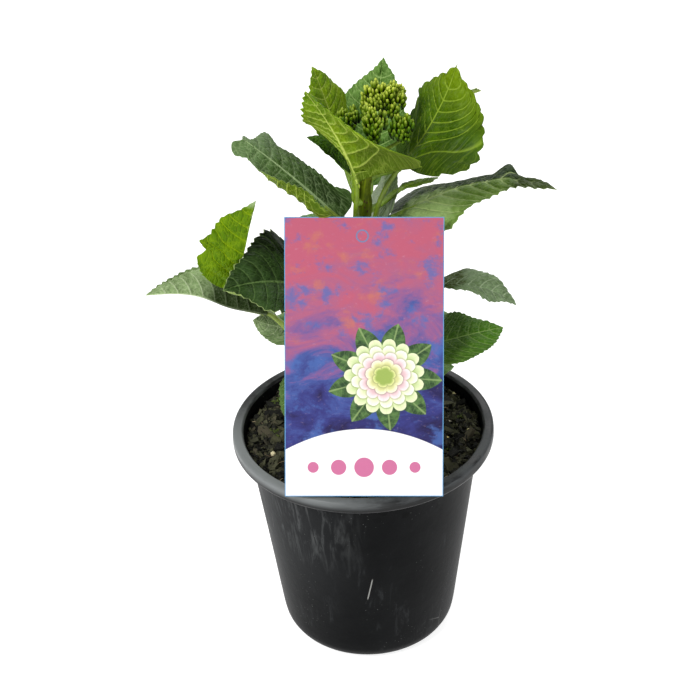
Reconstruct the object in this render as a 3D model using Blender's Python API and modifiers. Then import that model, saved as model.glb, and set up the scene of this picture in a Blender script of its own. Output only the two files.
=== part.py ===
"""Hydrangea shrub in its round nursery pot, with its plant label.

Units: the named sizes are millimetres, turned to metres when meshes are made.
Frame: +Z up, origin at the centre of the pot's flat underside, the label faces -Y.
"""
import bmesh
import bpy
import numpy as np
from math import cos, pi, radians, sin, sqrt
from mathutils import Matrix, Vector

MM = 0.001

# ---- driving dimensions -------------------------------------------------
POT_HEIGHT = 165.0
RIM_RADIUS = 90.0
RIM_INNER = 83.2
RIM_BAND = 8.8            # height of the rolled rim's outer face
BODY_TOP_RADIUS = 79.0    # outside, just under the flare below the rim
BODY_LOW_RADIUS = 62.4    # outside, where the side starts to round under
BODY_LOW_Z = 17.0
FOOT_RADIUS = 50.0
WALL = 1.6
FLOOR = 1.8
LEDGE_Z = 149.8           # inner stacking ledge
SOIL_TOP = 156.4
SOIL_GAP = 0.45
DRAIN_HOLES = 6
DRAIN_RADIUS = 4.5
DRAIN_CIRCLE = 38.0

GAP = 0.35                # clearance kept between touching pieces
BLADE = 0.9               # leaf blade thickness of the solid
MIDRIB = 1.8              # extra depth of the midrib under the blade
PETIOLE = 2.1             # leaf stalk radius

LABEL_WIDTH, LABEL_HEIGHT, LABEL_THICK = 102.7, 180.8, 0.6
LABEL_FOOT = (-1.6, -84.4, 166.9)    # middle of the lower edge, on the front rim
LABEL_LEAN = 28.5         # degrees back from upright
LABEL_TURN = 2.36         # degrees in its own plane

# ---- scene set-up -------------------------------------------------------
for ob in list(bpy.data.objects):
    bpy.data.objects.remove(ob, do_unlink=True)
for coll in list(bpy.data.collections):
    bpy.data.collections.remove(coll)
PARTS = bpy.data.collections.new("hydrangea_shrub")
CUTTERS = bpy.data.collections.new("cutters")
bpy.context.scene.collection.children.link(PARTS)
bpy.context.scene.collection.children.link(CUTTERS)


def material(name, colour, roughness, metallic=0.0):
    mat = bpy.data.materials.new(name)
    mat.use_nodes = True
    shader = mat.node_tree.nodes["Principled BSDF"]
    shader.inputs["Base Color"].default_value = (*colour, 1.0)
    shader.inputs["Roughness"].default_value = roughness
    shader.inputs["Metallic"].default_value = metallic
    return mat


M_POT = material("pot_plastic", (0.018, 0.021, 0.021), 0.5)
M_SOIL = material("bark_mix", (0.03, 0.026, 0.018), 0.95)
M_STEM = material("green_stem", (0.22, 0.25, 0.08), 0.55)
M_LEAF = material("leaf_green", (0.07, 0.16, 0.03), 0.5)
M_BUD = material("bud_green", (0.25, 0.34, 0.06), 0.55)
M_LABEL = material("label_card", (0.62, 0.45, 0.60), 0.35)


def add(mesh_or_bm, name, mat, smooth=True):
    if isinstance(mesh_or_bm, bmesh.types.BMesh):
        me = bpy.data.meshes.new(name)
        bmesh.ops.recalc_face_normals(mesh_or_bm, faces=mesh_or_bm.faces)
        mesh_or_bm.to_mesh(me)
        mesh_or_bm.free()
    else:
        me = mesh_or_bm
    if smooth:
        me.shade_smooth()
        me.set_sharp_from_angle(angle=radians(40))
    ob = bpy.data.objects.new(name, me)
    me.materials.append(mat)
    PARTS.objects.link(ob)
    return ob


def turned(name, profile, segments, mat):
    """A turned solid: the profile (radius, height in mm) runs down the outside,
    from a first point on the axis to a last point on the axis."""
    bm = bmesh.new()
    verts = [bm.verts.new((r * MM, 0.0, z * MM)) for r, z in profile]
    for a, b in zip(verts, verts[1:]):
        bm.edges.new((a, b))
    me = bpy.data.meshes.new(name)
    bm.to_mesh(me)
    bm.free()
    ob = bpy.data.objects.new(name, me)
    me.materials.append(mat)
    PARTS.objects.link(ob)
    screw = ob.modifiers.new("turn", "SCREW")
    screw.axis = "Z"
    screw.angle = 2 * pi
    screw.screw_offset = 0.0
    screw.steps = segments
    screw.render_steps = segments
    screw.use_merge_vertices = True
    screw.merge_threshold = 0.00001
    screw.use_smooth_shade = True
    return ob


# ---- pot ----------------------------------------------------------------
def side_radius(z):
    """Outer radius of the tapered side at height z."""
    t = (z - BODY_LOW_Z) / (149.5 - BODY_LOW_Z)
    return BODY_LOW_RADIUS + (BODY_TOP_RADIUS - BODY_LOW_RADIUS) * t


H, R = POT_HEIGHT, RIM_RADIUS
pot_profile = [
    # from the axis out along the inner floor is the last stretch: the loop
    # starts at the rim's inner edge and is closed through the axis
    (0.0, FLOOR),
    (FOOT_RADIUS - 0.4, FLOOR),
    (57.0, 5.4),
    (BODY_LOW_RADIUS - WALL, BODY_LOW_Z + 0.2),
    (side_radius(147.5) - WALL - 0.6, 147.4),
    (80.0, LEDGE_Z),
    (81.5, 152.2),
    (82.4, H - 1.4),
    (RIM_INNER + 0.6, H),
    (R - 2.8, H),
    (R - 0.9, H - 0.9),
    (R, H - 3.2),
    (R, H - RIM_BAND + 1.2),
    (R - 0.9, H - RIM_BAND),
    (84.4, H - RIM_BAND - 0.4),
    (82.8, 152.6),
    (BODY_TOP_RADIUS, 149.5),
    (BODY_LOW_RADIUS, BODY_LOW_Z),
    (61.3, 9.8),
    (57.6, 3.9),
    (FOOT_RADIUS + 2.6, 0.8),
    (FOOT_RADIUS, 0.0),
    (0.0, 0.0),
]
pot = turned("nursery_pot", pot_profile, 48, M_POT)
for k in range(DRAIN_HOLES):
    a = 2 * pi * (k + 0.5) / DRAIN_HOLES
    bpy.ops.mesh.primitive_cylinder_add(
        vertices=12, radius=DRAIN_RADIUS * MM, depth=12 * MM,
        location=(DRAIN_CIRCLE * cos(a) * MM, DRAIN_CIRCLE * sin(a) * MM, 0.5 * MM))
    cutter = bpy.context.object
    cutter.name = "drain_cutter_%d" % k
    for coll in list(cutter.users_collection):
        coll.objects.unlink(cutter)
    CUTTERS.objects.link(cutter)
    cutter.hide_render = True
    cutter.display_type = "WIRE"
    cut = pot.modifiers.new("drain_%d" % k, "BOOLEAN")
    cut.operation = "DIFFERENCE"
    cut.object = cutter

# ---- potting mix --------------------------------------------------------
soil_profile = [
    (0.0, SOIL_TOP + 1.6),
    (26.0, SOIL_TOP + 1.2),
    (52.0, SOIL_TOP + 0.3),
    (81.2 - SOIL_GAP, SOIL_TOP - 1.9),
    (81.0 - SOIL_GAP, 152.8),
    (79.5 - SOIL_GAP, LEDGE_Z + 0.7),
    (side_radius(147.2) - WALL - 0.6 - SOIL_GAP, 147.0),
    (BODY_LOW_RADIUS - WALL - SOIL_GAP - 0.1, BODY_LOW_Z + 0.4),
    (56.4, 6.0),
    (FOOT_RADIUS - 0.9, FLOOR + SOIL_GAP),
    (0.0, FLOOR + SOIL_GAP),
]
soil = turned("potting_mix", soil_profile, 40, M_SOIL)
soil_top_z = SOIL_TOP + 1.6

# ---- stems --------------------------------------------------------------
# each stem: stations of (x, y, z, radius), thickest at the soil
STEMS = {
    "stem_main": [(-2.0, 4.0, soil_top_z + 1.0, 6.4), (0.4, 9.0, 195, 5.6),
                  (3.6, 15.6, 255, 4.9), (6.4, 21.6, 312, 4.4),
                  (7.6, 23.6, 340, 3.9), (11.6, 22.4, 362, 3.5)],
    "shoot_left": [(-11.2, -3.4, soil_top_z + 1.4, 4.4), (-16.5, -5.4, 180, 4.0),
                   (-21.5, -8.0, 212, 3.4), (-24.5, -9.0, 236, 2.9)],
    "shoot_right": [(9.4, 0.4, soil_top_z + 1.4, 4.2), (14.4, -1.4, 178, 3.8),
                    (19.5, -4.5, 208, 3.3), (22.0, -6.5, 232, 2.8)],
    "shoot_back": [(-1.4, 17.0, soil_top_z + 1.4, 4.2), (-3.0, 24.0, 180, 3.7),
                   (-4.0, 30.5, 210, 3.2), (-3.0, 34.0, 232, 2.8)],
    # the flower head's branches, from the top of the main stem to the clusters
    "bud_stalk_top": [(12.1, 22.4, 362.6, 1.9), (15.2, 23.0, 372, 1.7),
                      (18.6, 23.5, 385.4, 1.6)],
    "bud_stalk_front": [(12.6, 18.4, 363.2, 1.3), (13.6, 10.5, 371, 1.2),
                        (13.8, 2.6, 380.6, 1.1)],
    "bud_stalk_left": [(8.6, 20.6, 362.9, 1.2), (3.6, 17.4, 372, 1.1),
                       (0.4, 14.6, 381.4, 1.0)],
    "bud_stalk_right": [(16.3, 20.6, 361.6, 1.3), (23.0, 14.6, 368, 1.2),
                        (29.6, 7.6, 375.4, 1.1)],
}


def stem_at(name, z):
    """Centre and radius of a stem at height z."""
    rows = STEMS[name]
    for a, b in zip(rows, rows[1:]):
        if z <= b[2] or b is rows[-1]:
            t = (z - a[2]) / (b[2] - a[2])
            return (np.array(a[:3]) + (np.array(b[:3]) - np.array(a[:3])) * t,
                    a[3] + (b[3] - a[3]) * t)


def stem(name):
    """A tapered stem along its stations, with closed ends."""
    rows = STEMS[name]
    crv = bpy.data.curves.new(name, "CURVE")
    crv.dimensions = "3D"
    crv.bevel_depth = MM
    crv.bevel_resolution = 3
    crv.use_fill_caps = True
    crv.twist_mode = "MINIMUM"
    zs = np.linspace(rows[0][2], rows[-1][2], 3 * (len(rows) - 1) + 1)
    sp = crv.splines.new("POLY")
    sp.points.add(len(zs) - 1)
    for pt, z in zip(sp.points, zs):
        c, r = stem_at(name, z)
        pt.co = (*(c * MM), 1.0)
        pt.radius = r
    ob = bpy.data.objects.new(name, crv)
    crv.materials.append(M_STEM)
    PARTS.objects.link(ob)
    return ob


for name in STEMS:
    stem(name)

# ---- leaves -------------------------------------------------------------
# A leaf is one thin closed blade with its stalk.  Its sizes:
#   foot      where the blade starts (mm)
#   heading   direction of the midrib seen from above, degrees from +X to +Y
#   rise      slope of the midrib at the foot; droop, how much it loses by the
#             tip; bend, how late it loses it; sweep, its turn sideways
#   length, left, right   blade length and its two half widths
#   roll, twist   turn of the blade about its midrib, at the foot and added by the tip
#   fold      slope of each half (left, right) above flat; refold, what the tip adds
#   curl      further turn of each half from midrib to margin
#   widest    where along the blade it is widest
#   node      the stem and the height that its stalk leaves from; away, the
#             direction that it leaves in, if not straight towards the blade;
#             climb, how steeply it leaves; hug, how far it keeps that way; lead, how far it
#             runs straight into the blade
LEAVES = {
    "leaf_top_front_left": dict(foot=(1, 3, 355), heading=220, rise=81, droop=31, sweep=15,
        length=87, left=54, right=28, fold=(19, 25), refold=(-50, -64), curl=(12, 0), bend=0.5,
        widest=0.2, node=("stem_main", 302), away=-132, climb=5),
    "leaf_top_back_left": dict(foot=(-8, 47, 356), heading=138, rise=71, droop=10, sweep=1,
        length=50, left=24, right=25, roll=4, twist=-7, fold=(14, -8), refold=(5, 10),
        curl=(-6, -20), node=("stem_main", 324)),
    "leaf_top_back": dict(foot=(12, 68, 312.8), heading=73, rise=67, droop=3, sweep=-3,
        length=86, left=35, right=29, fold=(12, 12), refold=(10, 20), curl=(-8, -3),
        node=("stem_main", 286)),
    "leaf_top_back_right": dict(foot=(37, 47, 342.6), heading=39, rise=52, droop=62, sweep=-5,
        length=73, left=20, right=30, roll=-6, twist=-20, fold=(14, 20), refold=(-11, 0),
        curl=(-15, -10), node=("stem_main", 341), climb=0.1),
    "leaf_top_right": dict(foot=(36, 16, 361), heading=7, rise=53, droop=-19, sweep=15,
        length=65, left=32, right=50, roll=-24, twist=23, fold=(24, -14), refold=(0, -14),
        curl=(-11, -26), widest=0.35, node=("stem_main", 302), away=-55, climb=5, lead=0.62, hug=0.2),
    "leaf_small_left": dict(foot=(-1, 17, 348), heading=172, rise=51, droop=20, sweep=-6,
        length=42, left=9, right=20, roll=9, twist=-2, fold=(12, 34), curl=(-2, -10),
        node=("stem_main", 327)),
    "leaf_mid_left": dict(foot=(-9, 14, 317), heading=159, rise=43, droop=2, sweep=23,
        length=84, left=28, right=38, twist=6, fold=(62, 14), refold=(-66, -15),
        curl=(-2, -9), bend=2.7, widest=0.6, node=("stem_main", 290)),
    "leaf_mid_right": dict(foot=(25, 31, 309), heading=25, rise=18, droop=30, sweep=-58,
        length=115, left=34, right=38, roll=-13, twist=-18, fold=(-1, -19), refold=(12, 7),
        curl=(-5, -14), bend=2.6, widest=0.22, node=("stem_main", 292)),
    "leaf_small_right": dict(foot=(31, 27.5, 331.5), heading=41, rise=1, droop=26, sweep=7,
        length=36, left=11, right=12, roll=-10, twist=-4, fold=(0, 11), curl=(-22, -13),
        node=("stem_main", 320)),
    "leaf_mid_back": dict(foot=(15, 33, 303), heading=73, rise=52, droop=22, sweep=3,
        length=41, left=20, right=23, roll=-35, twist=-3, fold=(0, 25), refold=(-11, -9),
        curl=(-22, -1), node=("stem_main", 280)),
    "leaf_low_left_upright": dict(foot=(-85.3, 2.6, 275.8), heading=173, rise=113, droop=8, sweep=18,
        length=68, left=31, right=30, roll=-52, twist=-17, fold=(-5, -70), refold=(-31, -14),
        curl=(6, 1), node=("shoot_left", 234), climb=6, lead=0.08, hug=0.64),
    "leaf_low_left_long": dict(foot=(-62, 22.5, 243.6), heading=184, rise=31, droop=36, sweep=2,
        length=84, left=28.5, right=23, fold=(70, 66), curl=(10, 10), node=("shoot_left", 214)),
    "leaf_low_left_front": dict(foot=(-30, 13, 266), heading=214, rise=37, droop=43, sweep=-8,
        length=71, left=29, right=36, roll=-27, fold=(3, 15), refold=(18, 19),
        curl=(-16, -14), node=("shoot_left", 235)),
    "leaf_low_left_small": dict(foot=(-44, 39, 218), heading=205, rise=27, droop=7, sweep=-30,
        length=28, left=21, right=22, roll=5, twist=-22, fold=(13, 3), refold=(-11, 0),
        curl=(-7, -12), node=("shoot_back", 206)),
    "leaf_low_right_upper": dict(foot=(40, 11, 262), heading=-10, rise=28, droop=68, sweep=-4,
        length=70, left=30, right=25, roll=-7, twist=22, fold=(-9, 24), refold=(14, 6),
        curl=(-21, -16), bend=1.1, node=("shoot_right", 230)),
    "leaf_low_right_front": dict(foot=(36, 1, 223), heading=-25, rise=29, droop=37, sweep=51,
        length=65, left=30, right=35, roll=-2, twist=8, fold=(9, 11), refold=(-4, -9),
        curl=(-7, -4), node=("shoot_right", 214)),
    # leaves behind the label and on the far side
    "leaf_low_front": dict(foot=(-38, -14, 226), heading=249, rise=-36, droop=61, sweep=0,
        length=51, left=19, right=14, roll=9, twist=-12, fold=(8, 0), curl=(-10, -19),
        node=("shoot_left", 186), away=215),
    "leaf_back_left": dict(foot=(-14, 40, 266), heading=107, rise=25, droop=50, sweep=0,
        length=74, left=26, right=27, fold=(14, 14), curl=(-12, -12), node=("stem_main", 248)),
    "leaf_back_right": dict(foot=(20, 38, 256), heading=62, rise=30, droop=50, sweep=0,
        length=74, left=27, right=26, fold=(14, 12), curl=(-12, -12), node=("stem_main", 234)),
    "leaf_low_back": dict(foot=(-6, 52, 240), heading=96, rise=24, droop=60, sweep=8,
        length=86, left=29, right=30, fold=(12, 14), curl=(-14, -12), node=("shoot_back", 228)),
    "leaf_low_back_left": dict(foot=(-26, 46, 204), heading=135, rise=10, droop=55, sweep=0,
        length=70, left=25, right=26, fold=(14, 12), curl=(-12, -14), node=("shoot_back", 190)),
    "leaf_low_back_right": dict(foot=(24, 38, 206), heading=40, rise=15, droop=55, sweep=0,
        length=68, left=26, right=25, fold=(12, 14), curl=(-12, -12), node=("shoot_back", 204)),
    "leaf_low_right_small": dict(foot=(36, 5, 197), heading=35, rise=18, droop=60, sweep=0,
        length=46, left=17, right=18, fold=(14, 14), curl=(-12, -12), node=("shoot_right", 192)),
}
STATIONS = (0.035, 0.10, 0.20, 0.33, 0.46, 0.60, 0.74, 0.87, 0.965)


def half_width(t, widest):
    """Half width along an ovate blade, 0 to 1: round at the foot, drawn out at the tip."""
    if t < widest:
        return sin(t / widest * pi / 2) ** 0.62
    u = (t - widest) / (1 - widest)
    return (1 - u * u) * (1 - 0.42 * u) * (1 + 0.15 * u)


def frame_at(spec, t):
    """Midrib tangent, left side and upper normal at t."""
    el = radians(spec["rise"] - spec["droop"] * t ** spec.get("bend", 1.3))
    az = radians(spec["heading"] + spec.get("sweep", 0) * t)
    tangent = np.array([cos(el) * cos(az), cos(el) * sin(az), sin(el)])
    side = np.array([-sin(az), cos(az), 0.0])
    normal = np.cross(tangent, side)
    a = radians(spec.get("roll", 0) + spec.get("twist", 0) * t)
    return tangent, cos(a) * side + sin(a) * normal, cos(a) * normal - sin(a) * side


def midrib(spec, n=60):
    pts = [np.array(spec["foot"], float)]
    for i in range(n):
        a = frame_at(spec, i / n)[0]
        b = frame_at(spec, (i + 1) / n)[0]
        pts.append(pts[-1] + (a + b) / 2 * spec["length"] / n)
    return np.array(pts)


def blade_point(spec, path, t, q):
    """Point of the blade at t along it and q across it, -1 right to 1 left."""
    n = len(path) - 1
    i = min(int(t * n), n - 1)
    centre = path[i] + (path[i + 1] - path[i]) * (t * n - i)
    _, side, normal = frame_at(spec, t)
    k = 0 if q >= 0 else 1
    reach = spec["left" if q >= 0 else "right"] * half_width(t, spec.get("widest", 0.4))
    fold = spec["fold"][k] + spec.get("refold", (0, 0))[k] * t
    curl = spec["curl"][k]
    across = up = 0.0
    steps = 6
    for s in range(steps):
        a = radians(fold + curl * (s + 0.5) / steps * abs(q))
        across += cos(a) * abs(q) / steps
        up += sin(a) * abs(q) / steps
    sign = 1 if q >= 0 else -1
    return centre + reach * (sign * across * side + up * normal)


def leaf(name, spec):
    path = midrib(spec)
    rings = []
    # the stalk: from the stem's surface in one curve to the blade's foot
    root, radius = stem_at(*spec["node"])
    foot = path[0]
    out = np.array([foot[0] - root[0], foot[1] - root[1], 0.0])
    if "away" in spec:
        out = np.array([cos(radians(spec["away"])), sin(radians(spec["away"])), 0.0])
    out /= np.linalg.norm(out)
    lift = np.array([0, 0, 1.0])
    climb = spec.get("climb", 0.35)
    start = root + out * (radius + GAP + 0.5 + PETIOLE * climb / sqrt(1 + climb * climb))
    reach = np.linalg.norm(foot - start)
    tangent, side, normal = frame_at(spec, 0.0)
    way = out + climb * lift
    h1 = start + way / np.linalg.norm(way) * reach * spec.get("hug", 0.34)
    h2 = foot - tangent * reach * spec.get("lead", 0.30)
    steps = 5
    stalk = []
    for i in range(steps + 1):
        u = i / steps
        p = ((1 - u) ** 3 * start + 3 * u * (1 - u) ** 2 * h1
             + 3 * u * u * (1 - u) * h2 + u ** 3 * foot)
        d = (3 * (1 - u) ** 2 * (h1 - start) + 6 * u * (1 - u) * (h2 - h1)
             + 3 * u * u * (foot - h2))
        stalk.append((p, d / np.linalg.norm(d)))
    # carry the blade's frame back down the stalk
    s = side
    for p, d in reversed(stalk):
        s = s - d * np.dot(s, d)
        s /= np.linalg.norm(s)
        n = np.cross(d, s)
        rings.append([p + PETIOLE * (cos(a) * s + sin(a) * n)
                      for a in (2 * pi * k / 8 for k in range(8))])
    rings.reverse()
    for t in STATIONS:
        _, side, normal = frame_at(spec, t)
        thick = BLADE * (1 - 0.45 * t)
        rib = MIDRIB * (1 - 0.8 * t)
        row = [blade_point(spec, path, t, q) for q in (1, 0.52, 0, -0.52, -1)]
        under = [blade_point(spec, path, t, q) for q in (-0.5, 0, 0.5)]
        under[0] = under[0] - normal * thick
        under[1] = under[1] - normal * (thick + rib)
        under[2] = under[2] - normal * thick
        rings.append(row + under)
    bm = bmesh.new()
    loops = [[bm.verts.new(Vector(p) * MM) for p in ring] for ring in rings]
    for a, b in zip(loops, loops[1:]):
        for k in range(8):
            m = (k + 1) % 8
            bm.faces.new((a[k], a[m], b[m], b[k]))
    bm.faces.new(loops[0])
    bm.faces.new(loops[-1])
    bmesh.ops.triangulate(bm, faces=bm.faces)
    return add(bm, name, M_LEAF)


for name, spec in LEAVES.items():
    leaf(name, spec)

# ---- flower-bud clusters ------------------------------------------------
# each cluster: centre and the three half sizes of its lumpy dome
CLUSTERS = {
    "bud_cluster_top": ((20.0, 23.5, 398.0), (17.0, 14.5, 13.5), 1),
    "bud_cluster_front": ((13.6, 0.0, 392.0), (9.0, 7.6, 12.0), 2),
    "bud_cluster_left": ((-0.5, 14.0, 390.0), (7.0, 8.0, 8.5), 3),
    "bud_cluster_right": ((31.0, 6.0, 385.5), (8.5, 8.0, 10.5), 4),
}


def cluster(name, centre, size, seed):
    """A closed uneven dome: a ball pushed in and out by a few slow waves."""
    bm = bmesh.new()
    bmesh.ops.create_icosphere(bm, subdivisions=2, radius=1.0)
    for v in bm.verts:
        p = v.co.normalized()
        wave = (0.06 * sin(5.1 * p.x + 1.3 * seed) + 0.06 * sin(6.3 * p.y + 2.1 * seed)
                + 0.05 * sin(5.7 * p.z + 0.7 * seed))
        p = p * (0.94 + wave)
        if p.z < 0:
            p.z *= 0.8
        v.co = Vector((centre[0] + p.x * size[0], centre[1] + p.y * size[1],
                       centre[2] + p.z * size[2])) * MM
    return add(bm, name, M_BUD)


for name, (centre, size, seed) in CLUSTERS.items():
    cluster(name, centre, size, seed)


# ---- label --------------------------------------------------------------
def label_matrix():
    """Stands on the front rim and leans back; local x across, z up the card."""
    return (Matrix.Translation(Vector(LABEL_FOOT) * MM)
            @ Matrix.Rotation(radians(-LABEL_LEAN), 4, "X")
            @ Matrix.Rotation(radians(LABEL_TURN), 4, "Y"))


bpy.ops.mesh.primitive_cube_add(size=1.0)
card = bpy.context.object
card.name = card.data.name = "plant_label"
for coll in list(card.users_collection):
    coll.objects.unlink(card)
PARTS.objects.link(card)
card.data.transform(
    Matrix.Translation((0, 0, (LABEL_HEIGHT / 2) * MM))
    @ Matrix.Diagonal((LABEL_WIDTH * MM, LABEL_THICK * MM, LABEL_HEIGHT * MM, 1)))
card.matrix_world = label_matrix()
card.data.materials.append(M_LABEL)
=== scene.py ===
"""Hydrangea shrub in its round nursery pot: the finished look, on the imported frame.

Sizes named here are millimetres, turned to metres when meshes are made.
"""
from math import cos, pi, radians, sin, sqrt

import bpy
import numpy as np
from mathutils import Matrix, Vector


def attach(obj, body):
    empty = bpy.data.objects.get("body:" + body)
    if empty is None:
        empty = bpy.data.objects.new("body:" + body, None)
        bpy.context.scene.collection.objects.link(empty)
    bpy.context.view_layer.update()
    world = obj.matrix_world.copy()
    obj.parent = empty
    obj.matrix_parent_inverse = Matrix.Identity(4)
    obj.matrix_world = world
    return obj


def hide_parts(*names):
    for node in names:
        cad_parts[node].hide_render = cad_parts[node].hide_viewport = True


MM = 0.001
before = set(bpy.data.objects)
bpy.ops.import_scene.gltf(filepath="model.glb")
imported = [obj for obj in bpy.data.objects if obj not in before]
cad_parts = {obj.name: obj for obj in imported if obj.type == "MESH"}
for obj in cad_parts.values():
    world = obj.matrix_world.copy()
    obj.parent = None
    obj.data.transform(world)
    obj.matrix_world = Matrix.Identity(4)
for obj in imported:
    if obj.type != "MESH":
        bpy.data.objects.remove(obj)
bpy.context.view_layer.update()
scene = bpy.context.scene
UP = np.array([0.0, 0.0, 1.0])


def unit(v):
    return v / np.linalg.norm(v, axis=-1, keepdims=True)


# ---- camera -------------------------------------------------------------
# the viewing angle: 33 degrees down on the front, with a slight roll
CAM_TILT, CAM_ROLL = 33.15, 2.36
CAM_AIM, CAM_DISTANCE = np.array([-6.8, 0.0, 225.5]), 1206.6
CAM_LENS = 92.57

tilt, roll = radians(CAM_TILT), radians(CAM_ROLL)
cam_fwd = np.array([0.0, cos(tilt), -sin(tilt)])
cam_x0, cam_y0 = np.array([1.0, 0.0, 0.0]), np.array([0.0, sin(tilt), cos(tilt)])
cam_x = cos(roll) * cam_x0 - sin(roll) * cam_y0
cam_y = sin(roll) * cam_x0 + cos(roll) * cam_y0
cam_data = bpy.data.cameras.new("camera")
cam_data.lens = CAM_LENS
cam_data.sensor_width = 36.0
cam_data.clip_start, cam_data.clip_end = 0.01, 50.0
camera = bpy.data.objects.new("camera", cam_data)
scene.collection.objects.link(camera)
place = (CAM_AIM - cam_fwd * CAM_DISTANCE) * MM
camera.matrix_world = Matrix([[*(float(v[i]) for v in (cam_x, cam_y, -cam_fwd)), float(place[i])]
                              for i in range(3)] + [[0, 0, 0, 1]])
scene.camera = camera


# ---- shader nodes -------------------------------------------------------
def lin(c):
    """Display colour, 0 to 255, to a linear one."""
    out = []
    for v in c:
        v = v / 255.0
        out.append(v / 12.92 if v <= 0.04045 else ((v + 0.055) / 1.055) ** 2.4)
    return (*out, 1.0)


class Shader:
    """A material's node tree, with short calls for the nodes that this script uses."""

    def __init__(self, name, roughness=0.5, specular=0.5):
        self.mat = bpy.data.materials.new(name)
        self.mat.use_nodes = True
        self.tree = self.mat.node_tree
        self.bsdf = self.tree.nodes["Principled BSDF"]
        self.bsdf.inputs["Roughness"].default_value = roughness
        self.bsdf.inputs["Specular IOR Level"].default_value = specular

    def put(self, socket, value):
        if hasattr(value, "is_linked"):
            self.tree.links.new(value, socket)
        elif isinstance(value, (tuple, list)) and socket.type == "RGBA" and len(value) == 3:
            socket.default_value = (*value, 1.0)
        else:
            socket.default_value = value

    def attr(self, name, vector=False):
        n = self.tree.nodes.new("ShaderNodeAttribute")
        n.attribute_name = name
        return n.outputs["Vector" if vector else "Fac"]

    def object_coord(self):
        return self.tree.nodes.new("ShaderNodeTexCoord").outputs["Object"]

    def math(self, op, a, b=None, c=None, clamp=False):
        n = self.tree.nodes.new("ShaderNodeMath")
        n.operation = op
        n.use_clamp = clamp
        for s, v in zip(n.inputs, (a, b, c)):
            if v is not None:
                self.put(s, v)
        return n.outputs[0]

    def smooth(self, x, low, high):
        """0 at low to 1 at high, in either direction."""
        n = self.tree.nodes.new("ShaderNodeMapRange")
        n.interpolation_type = "SMOOTHSTEP"
        n.clamp = True
        flip = low > high
        self.put(n.inputs["Value"], x)
        n.inputs["From Min"].default_value = min(low, high)
        n.inputs["From Max"].default_value = max(low, high)
        n.inputs["To Min"].default_value = 1.0 if flip else 0.0
        n.inputs["To Max"].default_value = 0.0 if flip else 1.0
        return n.outputs[0]

    def mix(self, fac, a, b, blend="MIX"):
        n = self.tree.nodes.new("ShaderNodeMix")
        n.data_type = "RGBA"
        n.blend_type = blend
        self.put(n.inputs[0], fac)
        self.put(n.inputs[6], a)
        self.put(n.inputs[7], b)
        return n.outputs[2]

    def scaled(self, vec, scale, shift=(0, 0, 0)):
        n = self.tree.nodes.new("ShaderNodeMapping")
        self.put(n.inputs["Vector"], vec)
        n.inputs["Scale"].default_value = scale
        n.inputs["Location"].default_value = shift
        return n.outputs[0]

    def noise(self, vec, scale, detail=3.0, rough=0.55, distort=0.0, colour=False):
        n = self.tree.nodes.new("ShaderNodeTexNoise")
        self.put(n.inputs["Vector"], vec)
        n.inputs["Scale"].default_value = scale
        n.inputs["Detail"].default_value = detail
        n.inputs["Roughness"].default_value = rough
        n.inputs["Distortion"].default_value = distort
        return n.outputs["Color" if colour else "Fac"]

    def cells(self, vec, scale, feature="DISTANCE_TO_EDGE", jitter=1.0, out="Distance"):
        n = self.tree.nodes.new("ShaderNodeTexVoronoi")
        n.feature = feature
        self.put(n.inputs["Vector"], vec)
        n.inputs["Scale"].default_value = scale
        n.inputs["Randomness"].default_value = jitter
        return n.outputs[out]

    def ramp(self, fac, stops, smooth=False):
        n = self.tree.nodes.new("ShaderNodeValToRGB")
        if smooth:
            n.color_ramp.interpolation = "EASE"
        el = n.color_ramp.elements
        while len(el) < len(stops):
            el.new(0.5)
        for e, (p, c) in zip(el, stops):
            e.position = p
            e.color = c if len(c) == 4 else (*c, 1.0)
        self.put(n.inputs[0], fac)
        return n.outputs[0]

    def wobble(self, vec, scale, amount):
        """vec pushed about by noise."""
        noise = self.noise(vec, scale, 2.0, colour=True)
        n = self.tree.nodes.new("ShaderNodeVectorMath")
        n.operation = "MULTIPLY_ADD"
        self.put(n.inputs[0], noise)
        n.inputs[1].default_value = (amount, amount, amount)
        self.put(n.inputs[2], vec)
        return n.outputs[0]

    def bump(self, height, distance, strength=1.0):
        n = self.tree.nodes.new("ShaderNodeBump")
        n.inputs["Strength"].default_value = strength
        n.inputs["Distance"].default_value = distance * MM
        self.put(n.inputs["Height"], height)
        self.put(self.bsdf.inputs["Normal"], n.outputs[0])

    def colour(self, value):
        self.put(self.bsdf.inputs["Base Color"], value)

    def rough(self, value):
        self.put(self.bsdf.inputs["Roughness"], value)


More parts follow.
